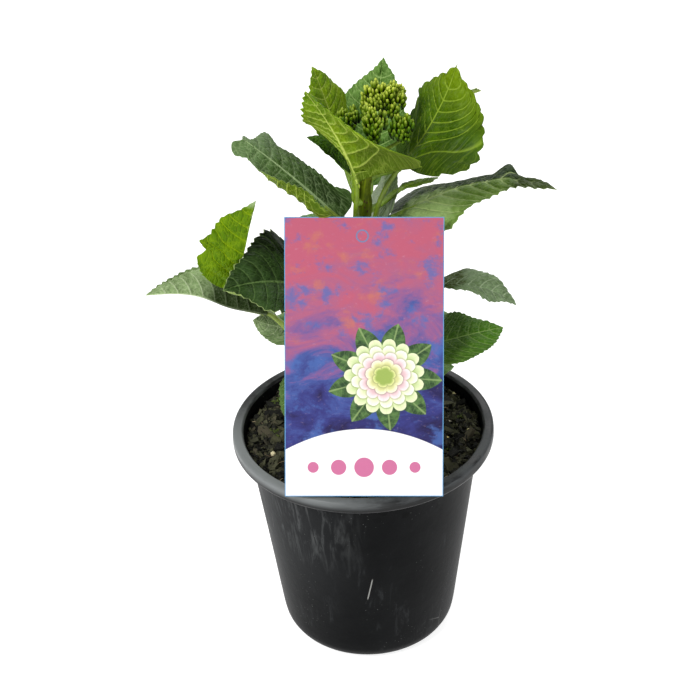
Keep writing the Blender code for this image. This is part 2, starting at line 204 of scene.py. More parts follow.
# ---- mesh helpers -------------------------------------------------------
class Pile:
    """Vertices, faces and per-vertex numbers of one piece, gathered from its bits."""

    def __init__(self):
        self.v, self.f, self.m, self.uv, self.n = [], [], [], [], 0
        self.a = {}

    def add(self, verts, faces, mat=0, uv=None, **attrs):
        verts = np.asarray(verts, float)
        faces = [np.asarray(f, int) for f in faces] if isinstance(faces, list) else faces
        self.v.append(verts)
        self.f.extend([tuple(int(k) + self.n for k in f) for f in faces])
        self.m.extend([mat] * len(faces))
        for k, val in attrs.items():
            self.a.setdefault(k, {})[self.n] = np.broadcast_to(
                np.asarray(val, float), (len(verts),) + np.shape(val)[1:]).copy()
        self.n += len(verts)

    def build(self, name, mats, node_names, smooth=True):
        me = bpy.data.meshes.new(name)
        verts = np.vstack(self.v) * MM
        me.from_pydata(verts.tolist(), [], self.f)
        for mat in mats:
            me.materials.append(mat)
        me.polygons.foreach_set("material_index", np.array(self.m, np.int32))
        me.polygons.foreach_set("use_smooth", np.full(len(self.f), smooth))
        for k, parts in self.a.items():
            first = next(iter(parts.values()))
            vec = first.ndim == 2
            full = np.zeros((self.n, 3) if vec else self.n, np.float32)
            for start, val in parts.items():
                full[start:start + len(val)] = val
            at = me.attributes.new(k, "FLOAT_VECTOR" if vec else "FLOAT", "POINT")
            at.data.foreach_set("vector" if vec else "value", full.ravel())
        me.update()
        ob = bpy.data.objects.new(name, me)
        scene.collection.objects.link(ob)
        finish_piece(ob, node_names)
        return ob


def finish_piece(ob, node_names):
    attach(ob, "root")
    if node_names:
        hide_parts(*node_names)


def grid_faces(rows, cols, wrap=False, flip=False):
    """Quads of a grid of vertices, row after row."""
    out = []
    for i in range(rows - 1):
        for j in range(cols if wrap else cols - 1):
            k = (j + 1) % cols
            q = (i * cols + j, (i + 1) * cols + j, (i + 1) * cols + k, i * cols + k)
            out.append(q[::-1] if flip else q)
    return out


def tube(path, radii, sides, side0=None, shape=None, squash=None):
    """Rings of a tube along a path.  Returns (verts, faces, angles, lengths)."""
    path = np.asarray(path, float)
    n = len(path)
    tang = np.gradient(path, axis=0)
    tang = unit(tang)
    s = np.array([1.0, 0, 0]) if side0 is None else np.asarray(side0, float)
    verts = []
    ang = np.linspace(0, 2 * pi, sides, endpoint=False)
    for i in range(n):
        s = s - tang[i] * np.dot(s, tang[i])
        s = s / np.linalg.norm(s)
        b = np.cross(tang[i], s)
        r = radii[i] * (1.0 if shape is None else shape(ang, i / (n - 1)))
        verts.append(path[i] + (np.cos(ang) * r)[:, None] * s + (np.sin(ang) * r)[:, None] * b)
    verts = np.vstack(verts)
    faces = grid_faces(n, sides, wrap=True, flip=True)
    faces.append(tuple(range(sides))[::-1])
    faces.append(tuple((n - 1) * sides + k for k in range(sides)))
    step = np.r_[0, np.cumsum(np.linalg.norm(np.diff(path, axis=0), axis=1))]
    return verts, faces, np.tile(ang, n), np.repeat(step, sides)


# ---- sizes shared with the frame ----------------------------------------
# stems: stations of (x, y, z, radius); leaves: foot, direction, sizes and folds of each
# blade (degrees and mm); clusters: centre, half sizes and seed
soil_top_z = 158.0
STEMS = {
    "stem_main": [(-2.0, 4.0, soil_top_z + 1.0, 6.4), (0.4, 9.0, 195, 5.6),
                  (3.6, 15.6, 255, 4.9), (6.4, 21.6, 312, 4.4),
                  (7.6, 23.6, 340, 3.9), (11.6, 22.4, 362, 3.5)],
    "shoot_left": [(-11.2, -3.4, soil_top_z + 1.4, 4.4), (-16.5, -5.4, 180, 4.0),
                   (-21.5, -8.0, 212, 3.4), (-24.5, -9.0, 236, 2.9)],
    "shoot_right": [(9.4, 0.4, soil_top_z + 1.4, 4.2), (14.4, -1.4, 178, 3.8),
                    (19.5, -4.5, 208, 3.3), (22.0, -6.5, 232, 2.8)],
    "shoot_back": [(-1.4, 17.0, soil_top_z + 1.4, 4.2), (-3.0, 24.0, 180, 3.7),
                   (-4.0, 30.5, 210, 3.2), (-3.0, 34.0, 232, 2.8)],
    # the flower head's branches, from the top of the main stem to the clusters
    "bud_stalk_top": [(12.1, 22.4, 362.6, 1.9), (15.2, 23.0, 372, 1.7),
                      (18.6, 23.5, 385.4, 1.6)],
    "bud_stalk_front": [(12.6, 18.4, 363.2, 1.3), (13.6, 10.5, 371, 1.2),
                        (13.8, 2.6, 380.6, 1.1)],
    "bud_stalk_left": [(8.6, 20.6, 362.9, 1.2), (3.6, 17.4, 372, 1.1),
                       (0.4, 14.6, 381.4, 1.0)],
    "bud_stalk_right": [(16.3, 20.6, 361.6, 1.3), (23.0, 14.6, 368, 1.2),
                        (29.6, 7.6, 375.4, 1.1)],
}


def stem_at(name, z):
    """Centre and radius of a stem at height z."""
    rows = STEMS[name]
    for a, b in zip(rows, rows[1:]):
        if z <= b[2] or b is rows[-1]:
            t = (z - a[2]) / (b[2] - a[2])
            return (np.array(a[:3]) + (np.array(b[:3]) - np.array(a[:3])) * t,
                    a[3] + (b[3] - a[3]) * t)


LEAVES = {
    "leaf_top_front_left": dict(foot=(1, 3, 355), heading=220, rise=81, droop=31, sweep=15,
        length=87, left=54, right=28, fold=(19, 25), refold=(-50, -64), curl=(12, 0), bend=0.5,
        widest=0.2, node=("stem_main", 302), away=-132, climb=5),
    "leaf_top_back_left": dict(foot=(-8, 47, 356), heading=138, rise=71, droop=10, sweep=1,
        length=50, left=24, right=25, roll=4, twist=-7, fold=(14, -8), refold=(5, 10),
        curl=(-6, -20), node=("stem_main", 324)),
    "leaf_top_back": dict(foot=(12, 68, 312.8), heading=73, rise=67, droop=3, sweep=-3,
        length=86, left=35, right=29, fold=(12, 12), refold=(10, 20), curl=(-8, -3),
        node=("stem_main", 286)),
    "leaf_top_back_right": dict(foot=(37, 47, 342.6), heading=39, rise=52, droop=62, sweep=-5,
        length=73, left=20, right=30, roll=-6, twist=-20, fold=(14, 20), refold=(-11, 0),
        curl=(-15, -10), node=("stem_main", 341), climb=0.1),
    "leaf_top_right": dict(foot=(36, 16, 361), heading=7, rise=53, droop=-19, sweep=15,
        length=65, left=32, right=50, roll=-24, twist=23, fold=(24, -14), refold=(0, -14),
        curl=(-11, -26), widest=0.35, node=("stem_main", 302), away=-55, climb=5, lead=0.62, hug=0.2),
    "leaf_small_left": dict(foot=(-1, 17, 348), heading=172, rise=51, droop=20, sweep=-6,
        length=42, left=9, right=20, roll=9, twist=-2, fold=(12, 34), curl=(-2, -10),
        node=("stem_main", 327)),
    "leaf_mid_left": dict(foot=(-9, 14, 317), heading=159, rise=43, droop=2, sweep=23,
        length=84, left=28, right=38, twist=6, fold=(62, 14), refold=(-66, -15),
        curl=(-2, -9), bend=2.7, widest=0.6, node=("stem_main", 290)),
    "leaf_mid_right": dict(foot=(25, 31, 309), heading=25, rise=18, droop=30, sweep=-58,
        length=115, left=34, right=38, roll=-13, twist=-18, fold=(-1, -19), refold=(12, 7),
        curl=(-5, -14), bend=2.6, widest=0.22, node=("stem_main", 292)),
    "leaf_small_right": dict(foot=(31, 27.5, 331.5), heading=41, rise=1, droop=26, sweep=7,
        length=36, left=11, right=12, roll=-10, twist=-4, fold=(0, 11), curl=(-22, -13),
        node=("stem_main", 320)),
    "leaf_mid_back": dict(foot=(15, 33, 303), heading=73, rise=52, droop=22, sweep=3,
        length=41, left=20, right=23, roll=-35, twist=-3, fold=(0, 25), refold=(-11, -9),
        curl=(-22, -1), node=("stem_main", 280)),
    "leaf_low_left_upright": dict(foot=(-85.3, 2.6, 275.8), heading=173, rise=113, droop=8, sweep=18,
        length=68, left=31, right=30, roll=-52, twist=-17, fold=(-5, -70), refold=(-31, -14),
        curl=(6, 1), node=("shoot_left", 234), climb=6, lead=0.08, hug=0.64),
    "leaf_low_left_long": dict(foot=(-62, 22.5, 243.6), heading=184, rise=31, droop=36, sweep=2,
        length=84, left=28.5, right=23, fold=(70, 66), curl=(10, 10), node=("shoot_left", 214)),
    "leaf_low_left_front": dict(foot=(-30, 13, 266), heading=214, rise=37, droop=43, sweep=-8,
        length=71, left=29, right=36, roll=-27, fold=(3, 15), refold=(18, 19),
        curl=(-16, -14), node=("shoot_left", 235)),
    "leaf_low_left_small": dict(foot=(-44, 39, 218), heading=205, rise=27, droop=7, sweep=-30,
        length=28, left=21, right=22, roll=5, twist=-22, fold=(13, 3), refold=(-11, 0),
        curl=(-7, -12), node=("shoot_back", 206)),
    "leaf_low_right_upper": dict(foot=(40, 11, 262), heading=-10, rise=28, droop=68, sweep=-4,
        length=70, left=30, right=25, roll=-7, twist=22, fold=(-9, 24), refold=(14, 6),
        curl=(-21, -16), bend=1.1, node=("shoot_right", 230)),
    "leaf_low_right_front": dict(foot=(36, 1, 223), heading=-25, rise=29, droop=37, sweep=51,
        length=65, left=30, right=35, roll=-2, twist=8, fold=(9, 11), refold=(-4, -9),
        curl=(-7, -4), node=("shoot_right", 214)),
    # leaves behind the label and on the far side
    "leaf_low_front": dict(foot=(-38, -14, 226), heading=249, rise=-36, droop=61, sweep=0,
        length=51, left=19, right=14, roll=9, twist=-12, fold=(8, 0), curl=(-10, -19),
        node=("shoot_left", 186), away=215),
    "leaf_back_left": dict(foot=(-14, 40, 266), heading=107, rise=25, droop=50, sweep=0,
        length=74, left=26, right=27, fold=(14, 14), curl=(-12, -12), node=("stem_main", 248)),
    "leaf_back_right": dict(foot=(20, 38, 256), heading=62, rise=30, droop=50, sweep=0,
        length=74, left=27, right=26, fold=(14, 12), curl=(-12, -12), node=("stem_main", 234)),
    "leaf_low_back": dict(foot=(-6, 52, 240), heading=96, rise=24, droop=60, sweep=8,
        length=86, left=29, right=30, fold=(12, 14), curl=(-14, -12), node=("shoot_back", 228)),
    "leaf_low_back_left": dict(foot=(-26, 46, 204), heading=135, rise=10, droop=55, sweep=0,
        length=70, left=25, right=26, fold=(14, 12), curl=(-12, -14), node=("shoot_back", 190)),
    "leaf_low_back_right": dict(foot=(24, 38, 206), heading=40, rise=15, droop=55, sweep=0,
        length=68, left=26, right=25, fold=(12, 14), curl=(-12, -12), node=("shoot_back", 204)),
    "leaf_low_right_small": dict(foot=(36, 5, 197), heading=35, rise=18, droop=60, sweep=0,
        length=46, left=17, right=18, fold=(14, 14), curl=(-12, -12), node=("shoot_right", 192)),
}

CLUSTERS = {
    "bud_cluster_top": ((20.0, 23.5, 398.0), (17.0, 14.5, 13.5), 1),
    "bud_cluster_front": ((13.6, 0.0, 392.0), (9.0, 7.6, 12.0), 2),
    "bud_cluster_left": ((-0.5, 14.0, 390.0), (7.0, 8.0, 8.5), 3),
    "bud_cluster_right": ((31.0, 6.0, 385.5), (8.5, 8.0, 10.5), 4),
}


# ---- leaf form ----------------------------------------------------------
def half_width(t, widest):
    t = np.clip(t, 0, 1)
    up = np.sin(np.minimum(t / widest, 1) * pi / 2) ** 0.62
    u = np.clip((t - widest) / (1 - widest), 0, 1)
    return np.where(t < widest, up, (1 - u * u) * (1 - 0.42 * u) * (1 + 0.15 * u))


def ease(x, low, high):
    x = np.clip((x - low) / (high - low), 0, 1)
    return x * x * (3 - 2 * x)


class Blade:
    """The smooth surface of one leaf: t runs along it, q across it from right -1 to left 1."""

    def __init__(self, spec):
        self.s = spec
        n = 400
        tt = np.linspace(0, 1, n + 1)
        tan = self.frame(tt)[0]
        steps = (tan[1:] + tan[:-1]) / 2 * spec["length"] / n
        foot = np.array(spec["foot"], float)
        self.tt, self.path = tt, np.vstack([foot, foot + np.cumsum(steps, axis=0)])

    def frame(self, t):
        s = self.s
        t = np.asarray(t, float)
        el = np.radians(s["rise"] - s["droop"] * np.clip(t, 0, 1) ** s.get("bend", 1.3))
        az = np.radians(s["heading"] + s.get("sweep", 0) * t)
        tangent = np.stack([np.cos(el) * np.cos(az), np.cos(el) * np.sin(az), np.sin(el)], -1)
        side = np.stack([-np.sin(az), np.cos(az), 0 * az], -1)
        normal = np.cross(tangent, side)
        a = np.radians(s.get("roll", 0) + s.get("twist", 0) * t)[..., None]
        return tangent, np.cos(a) * side + np.sin(a) * normal, np.cos(a) * normal - np.sin(a) * side

    def reach(self, t, q):
        """Half width in mm at t, on the side that q is on."""
        s = self.s
        w = np.where(q >= 0, s["left"], s["right"]) * half_width(t, s.get("widest", 0.4))
        for side, t0, span, gain in s.get("lobes", ()):      # a swelling or a notch of the outline
            w = w + np.where(np.sign(q) == side, gain * np.exp(-((t - t0) / span) ** 2), 0)
        return np.maximum(w, 0.0)

    def point(self, t, q, extra=0.0):
        s = self.s
        centre = np.stack([np.interp(t, self.tt, self.path[:, k]) for k in range(3)], -1)
        _, side, normal = self.frame(t)
        w = self.reach(t, q)
        left = q >= 0
        fold, refold, curl = s["fold"], s.get("refold", (0, 0)), s["curl"]
        f = np.where(left, fold[0] + refold[0] * t, fold[1] + refold[1] * t)
        late = s.get("recurl", (0, 0))
        c = np.where(left, curl[0] + late[0] * t ** 3, curl[1] + late[1] * t ** 3)
        aq = np.abs(q)
        across = up = 0.0
        for k in range(6):
            a = np.radians(f + c * (k + 0.5) / 6 * aq)
            across = across + np.cos(a) * aq / 6
            up = up + np.sin(a) * aq / 6
        a = np.radians(f + c * aq)
        across = w * across + extra * np.cos(a)
        up = w * up + extra * np.sin(a)
        sign = np.where(left, 1.0, -1.0)
        p = centre + (sign * across)[..., None] * side + up[..., None] * normal
        for side_of, back, t1, power, hold in s.get("heart", ()):  # a rounded lobe behind the leaf's foot
            g = np.where(np.sign(q) == side_of, back, 0.0) * np.sin(pi * np.minimum(aq ** power, hold)) \
                * (1 - ease(t, 0.0, t1))
            p = p - g[..., None] * self.frame(t)[0]
        for side_of, ahead, t1 in s.get("tips", ()):         # one half runs on past the leaf's tip
            g = np.where(np.sign(q) == side_of, ahead, 0.0) * ease(aq, 0.0, 0.8) * ease(t, t1, 1.0)
            p = p + g[..., None] * self.frame(t)[0]
        for t0, ts, q0, qs, lift in s.get("bends", ()):      # a smooth local lift off the blade
            g = np.exp(-((t - t0) / ts) ** 2 - ((q - q0) / qs) ** 2) * lift
            p = p + g[..., None] * normal
        return p


Q_HALF = np.array([0, .006, .014, .024, .036, .052, .072, .10, .135, .175, .22, .27, .325, .385,
                   .445, .51, .575, .64, .70, .755, .805, .85, .89, .925, .955, .98, 1.0])
Q_ALL = np.r_[-Q_HALF[:0:-1], Q_HALF]
LEAF_THICK = 0.34


def stations(veins, fine):
    """Places along the leaf, closer together beside each side vein, and for each the
    distance to the nearest vein and the gap between veins there (both in leaf lengths)."""
    edges = [0.0006, *veins, 0.9985]
    t, d, gap = [], [], []
    for k, (a, b) in enumerate(zip(edges, edges[1:])):
        last = k == len(edges) - 2
        m = int(round((20 if k == 0 else (22 if last else 15)) * fine))
        s = np.arange(m + (1 if last else 0)) / m
        x = s - (0.35 if not last else 0.2) * np.sin(2 * pi * s) / (2 * pi)
        if last:
            x = s ** 0.92
        if k == 0:
            x = s ** 1.3
        pos = a + (b - a) * x
        t.extend(pos)
        d.extend((b - pos) if k == 0 else ((pos - a) if last else np.minimum(pos - a, b - pos)))
        gap.extend(np.full(len(pos), (b - a) * (2 if k == 0 else 1) if not last else min(b - a, 0.2)))
    return np.array(t), np.array(d), np.array(gap)


def saw(p, blunt=False):
    """A forward-pointing tooth, or a blunt one, over one turn of p."""
    p = p % 1.0
    if blunt:
        return np.sin(pi * p ** 1.25) ** 0.62
    return np.where(p < 0.70, (p / 0.70) ** 0.85, ((1 - p) / 0.30) ** 1.1)


def leaf_piece(name, spec, look):
    blade = Blade(spec)
    rng = np.random.default_rng(look.get("seed", sum(map(ord, name))))
    length = spec["length"]
    size = length / 90.0
    n_veins = look.get("veins", 7 if length > 60 else 5)
    first, reach_to = look.get("vein_from", 0.035), look.get("vein_to", 0.84)
    veins = first + (reach_to - first) * (np.arange(n_veins) / (n_veins - 1)) ** look.get("vein_pow", 1.0)
    plain = name not in LOOKS
    tau, d_tau, gap = stations(veins, 0.6 if plain else 1.0)
    q_all = np.r_[-Q_HALF[:0:-2], Q_HALF[::2]] if plain else Q_ALL
    rows, cols = len(tau), len(q_all)
    TAU, Q = np.meshgrid(tau, q_all, indexing="ij")
    aq = np.abs(Q)
    # the side veins sweep towards the tip, more so in a broad half
    sweep = np.clip(look.get("sweep", 0.85) * np.where(Q >= 0, spec["left"], spec["right"]) / length,
                    0.14, look.get("sweep_max", 0.62))
    T = np.clip(TAU + sweep * (1 - TAU) * (1 - np.exp(-TAU / 0.03)) * aq ** look.get("arc_pow", 1.25), 0, 1)
    # teeth
    pitch, depth = look.get("teeth", (4.4 * size + 0.6, 1.25 * size))
    extra = np.zeros_like(T)
    push = np.zeros_like(T)
    for sgn in (-1, 1):
        col = 0 if sgn < 0 else cols - 1
        edge = blade.point(T[:, col], Q[:, col])
        run = np.r_[0, np.cumsum(np.linalg.norm(np.diff(edge, axis=0), axis=1))]
        count = max(3, int(round(run[-1] / pitch)))
        phase = run / run[-1] * count + (0.4 if sgn > 0 else 0.0)
        wob = rng.normal(0, 0.10, count + 3)
        phase = phase + np.interp(phase, np.arange(count + 3), wob)
        amp = depth * (1 + rng.normal(0, 0.28, count + 3)).clip(0.45, 1.6)[np.floor(phase).astype(int).clip(0, count + 2)]
        t_edge = T[:, col]
        amp = amp * ease(t_edge, 0.06, 0.2) * (1 - ease(t_edge, 0.93, 0.995))
        blunt = look.get("blunt", False)
        tooth = amp * (saw(phase, blunt) - (0.62 if blunt else 0.42))
        blend = np.clip((aq - 0.72) / 0.28, 0, 1) ** 1.6
        mask = np.sign(Q) == sgn
        extra = np.where(mask, tooth[:, None] * blend, extra)
        hook = look.get("hook", 0.35)
        push = np.where(mask, (amp * saw(phase, blunt))[:, None] * blend * hook / length, push)
    T = np.clip(T + push * (1 - T) ** 0.3, 0, 1)
    base = blade.point(T, Q, extra)
    # surface normal
    d_t = np.gradient(base, axis=0)
    d_q = np.gradient(base, axis=1)
    nrm = np.cross(d_t, d_q)
    guide = blade.frame(T)[2]
    lens = np.linalg.norm(nrm, axis=-1, keepdims=True)
    nrm = np.where(lens > 1e-5, nrm / np.maximum(lens, 1e-9), guide)
    nrm = unit(np.where((nrm * guide).sum(-1, keepdims=True) < -0.2, -nrm, nrm))
    # measures on the blade, in mm
    reach = blade.reach(T, Q)
    across = aq * reach + np.maximum(extra, 0)
    d_mid = aq * reach
    d_lat = d_tau[:, None] * length * 0.74 * (1 - 0.6 * sweep * aq)
    along = d_mid * 1.25
    edge_mm = (1 - aq) * reach
    signed = np.sign(Q) * d_mid
    x = np.clip(d_tau / (gap / 2), 0, 1)[:, None]
    inner = np.clip(aq / 0.16, 0, 1) ** 1.1 * (1 - 0.72 * ease(aq, 0.62, 1.0))
    tipfade = 1 - ease(TAU, 0.86, 1.0)
    basefade = ease(TAU, 0.0, 0.06)
    puff = look.get("puff", 0.9) * size * np.sin(x * pi / 2) ** 1.1 * inner * tipfade * basefade
    ph1, ph2 = rng.uniform(0, 6.28, 2)
    ripple = look.get("ripple", 0.30) * (np.sin(2 * pi * along / (3.9 * size + 0.6) + ph1 + 1.2 * np.sin(TAU * 23))
                                        * np.sin(2 * pi * TAU * length / (3.4 * size + 0.6) + ph2 + 0.9 * np.sin(aq * 9)))
    ripple = ripple * inner * tipfade * basefade
    amp, waves = look.get("wave", (0.9, 3.0))
    rim = 0.0
    for sgn in (-1, 1):
        ph = rng.uniform(0, 6.28)
        rim = rim + np.where(np.sign(Q) == sgn, amp * size * np.sin(2 * pi * waves * T + ph), 0)
    rim = rim * aq ** 2.4 * ease(T, 0.05, 0.25) * (1 - ease(T, 0.85, 1.0))
    mid_w = look.get("midrib", 1.5) * size * (1 - 0.82 * T) + 0.14
    lat_w = (0.50 * size) * (1 - 0.62 * aq) + 0.10
    groove = 0.55 * size * np.exp(-(d_mid / (0.75 * mid_w)) ** 2) * (1 - 0.7 * T)
    lat_groove = 0.30 * size * np.exp(-(d_lat / (0.9 * lat_w)) ** 2) * (1 - 0.5 * aq) * ease(aq, 0.02, 0.08)
    top = puff + ripple + rim - groove - lat_groove * tipfade * basefade
    rib = mid_w * 1.25
    ridge = rib * 1.05 * np.sqrt(np.clip(1 - (d_mid / rib) ** 2, 0, 1))
    ridge = ridge - look.get("double", 0.22) * rib * np.exp(-(d_mid / (0.30 * rib)) ** 2)
    ridge = ridge * (1 - ease(T, 0.93, 1.0))
    lat_ridge = look.get("lat_ridge", 0.62) * size * (1 - 0.7 * aq) * np.exp(-(d_lat / (1.0 * lat_w)) ** 2) \
        * ease(aq, 0.015, 0.05) * tipfade * basefade
    low = puff + ripple + rim - LEAF_THICK * (1 - 0.35 * aq) - np.maximum(ridge, lat_ridge)
    upper = base + nrm * top[..., None]
    lower = base + nrm * low[..., None]
    pile = Pile()
    m_mid, m_lat = d_mid / (0.62 * mid_w), d_lat / (0.80 * lat_w)
    flat = np.stack([signed, T * length, 0 * T], -1)
    lat = np.stack([along * np.sign(Q), TAU * length * 0.74, 0 * T], -1)
    seed = float(rng.uniform(0, 50))
    uu, vv = (Q + 1) / 2, TAU
    for grid, u0, side in ((upper, 0.015, 0), (lower, 0.515, 1)):
        k = 1.0 if side == 0 else 1.25
        kl = 1.0 if side == 0 else 1.15
        n0 = pile.n
        pile.add(grid.reshape(-1, 3), grid_faces(rows, cols, flip=(side == 1)), side,
                 m_mid=(m_mid / k).ravel(), m_lat=(m_lat / kl + 4 * (1 - ease(aq, 0.01, 0.05)) * 0
                                                   + 3.0 * (1 - tipfade * basefade)).ravel(),
                 along=T.ravel(), cross=Q.ravel(), edge=edge_mm.ravel(),
                 flat=(flat + [seed * 7, seed * 3, seed]).reshape(-1, 3),
                 lat=(lat + [seed, seed, 0]).reshape(-1, 3))
        pile.uv.append(np.stack([u0 + 0.47 * uu, 0.07 + 0.92 * vv], -1).reshape(-1, 2))
    # the rim joins the two sides
    half = rows * cols
    loop = ([i * cols + cols - 1 for i in range(rows)]
            + [(rows - 1) * cols + j for j in range(cols - 2, -1, -1)]
            + [i * cols for i in range(rows - 2, -1, -1)] + [j for j in range(1, cols - 1)])
    for a, b in zip(loop, loop[1:] + loop[:1]):
        pile.f.append((a, b, b + half, a + half))
        pile.m.append(0)
    n_rim = len(loop)
    # the stalk, from inside the stem to under the blade's foot
    root, radius = stem_at(*spec["node"])
    foot = blade.path[0]
    out = np.array([foot[0] - root[0], foot[1] - root[1], 0.0])
    if "away" in spec:
        out = np.array([cos(radians(spec["away"])), sin(radians(spec["away"])), 0.0])
    out = unit(out)
    climb = spec.get("climb", 0.35)
    start = root + out * (radius + 0.35 + 0.5 + 2.1 * climb / sqrt(1 + climb * climb))
    tangent, side, normal = (v[0] for v in blade.frame(np.array([0.0])))
    span = np.linalg.norm(foot - start)
    way = unit(out + climb * UP)
    h1 = start + way * span * spec.get("hug", 0.34)
    h2 = foot - tangent * span * spec.get("lead", 0.30)
    u = np.linspace(0, 1, 34)[:, None]
    curve = (1 - u) ** 3 * start + 3 * u * (1 - u) ** 2 * h1 + 3 * u * u * (1 - u) * h2 + u ** 3 * foot
    lead = start - (way * 0.5 + out * 0.5) * np.array([[radius + 1.6], [radius * 0.5 + 0.8]])
    lead[0] = root + UP * min(0.0, -1.5)
    under_t = np.linspace(0.02, 0.17, 7)
    under = blade.point(under_t, 0 * under_t)
    sink = np.interp(under_t, [0, 0.17], [0.55, 1.1])[:, None]
    under = under - blade.frame(under_t)[2] * sink
    path = np.vstack([lead, curve[:-1], foot - normal * 0.45, under])
    r0 = look.get("stalk", 2.0)
    n = len(path)
    run = np.linspace(0, 1, n)
    radii = r0 * (1 + 0.38 * np.exp(-(run / 0.10) ** 2))
    end_r = float(mid_w[0, cols // 2]) * 1.05
    k_foot = 2 + 33
    radii[k_foot - 8:k_foot + 1] = np.linspace(radii[k_foot - 8], max(end_r, 0.75 * r0), 9)
    radii[k_foot:] = np.linspace(max(end_r, 0.75 * r0), 0.55 * end_r, n - k_foot)
    # the frame at the foot is carried back to the start, so the groove meets the blade's upper side
    tang = unit(np.gradient(path, axis=0))
    s = side
    for i in range(n - 1, -1, -1):
        s = unit(s - tang[i] * np.dot(s, tang[i]))
    verts, faces, ang, runs = tube(path, radii, 14, side0=s,
                                   shape=lambda a, k: 1 - 0.16 * np.exp(-((a - pi / 2) / 0.5) ** 2)
                                   + 0.05 * np.cos(2 * a))
    n1 = pile.n
    pile.add(verts, faces, 2, m_mid=9.0, m_lat=9.0, along=np.repeat(run, 14), cross=np.sin(ang),
             edge=9.0, flat=np.stack([ang * r0, runs, 0 * ang + seed], -1),
             lat=np.stack([ang * r0, runs, 0 * ang], -1))
    pile.uv.append(np.stack([0.02 + 0.94 * runs / runs.max(), 0.008 + 0.045 * ang / (2 * pi)], -1))
    mats = leaf_materials(name, look)
    ob = pile.build("look_" + name, mats, [name])
    # bake layout: upper side left, under side right, stalk along the bottom
    me = ob.data
    layer = me.uv_layers.new(name="OFBake")
    uvs = np.vstack(pile.uv)
    loops = np.zeros(len(me.loops), np.int32)
    me.loops.foreach_get("vertex_index", loops)
    out_uv = uvs[loops]
    starts = np.zeros(len(me.polygons), np.int32)
    me.polygons.foreach_get("loop_start", starts)
    f_rim0 = 2 * (rows - 1) * (cols - 1)
    for f in range(f_rim0, f_rim0 + n_rim):
        st = starts[f]
        for k in range(4):
            v = loops[st + k]
            out_uv[st + k] = uvs[v - half if v >= half else v]
    layer.data.foreach_set("uv", out_uv.astype(np.float32).ravel())
    return ob


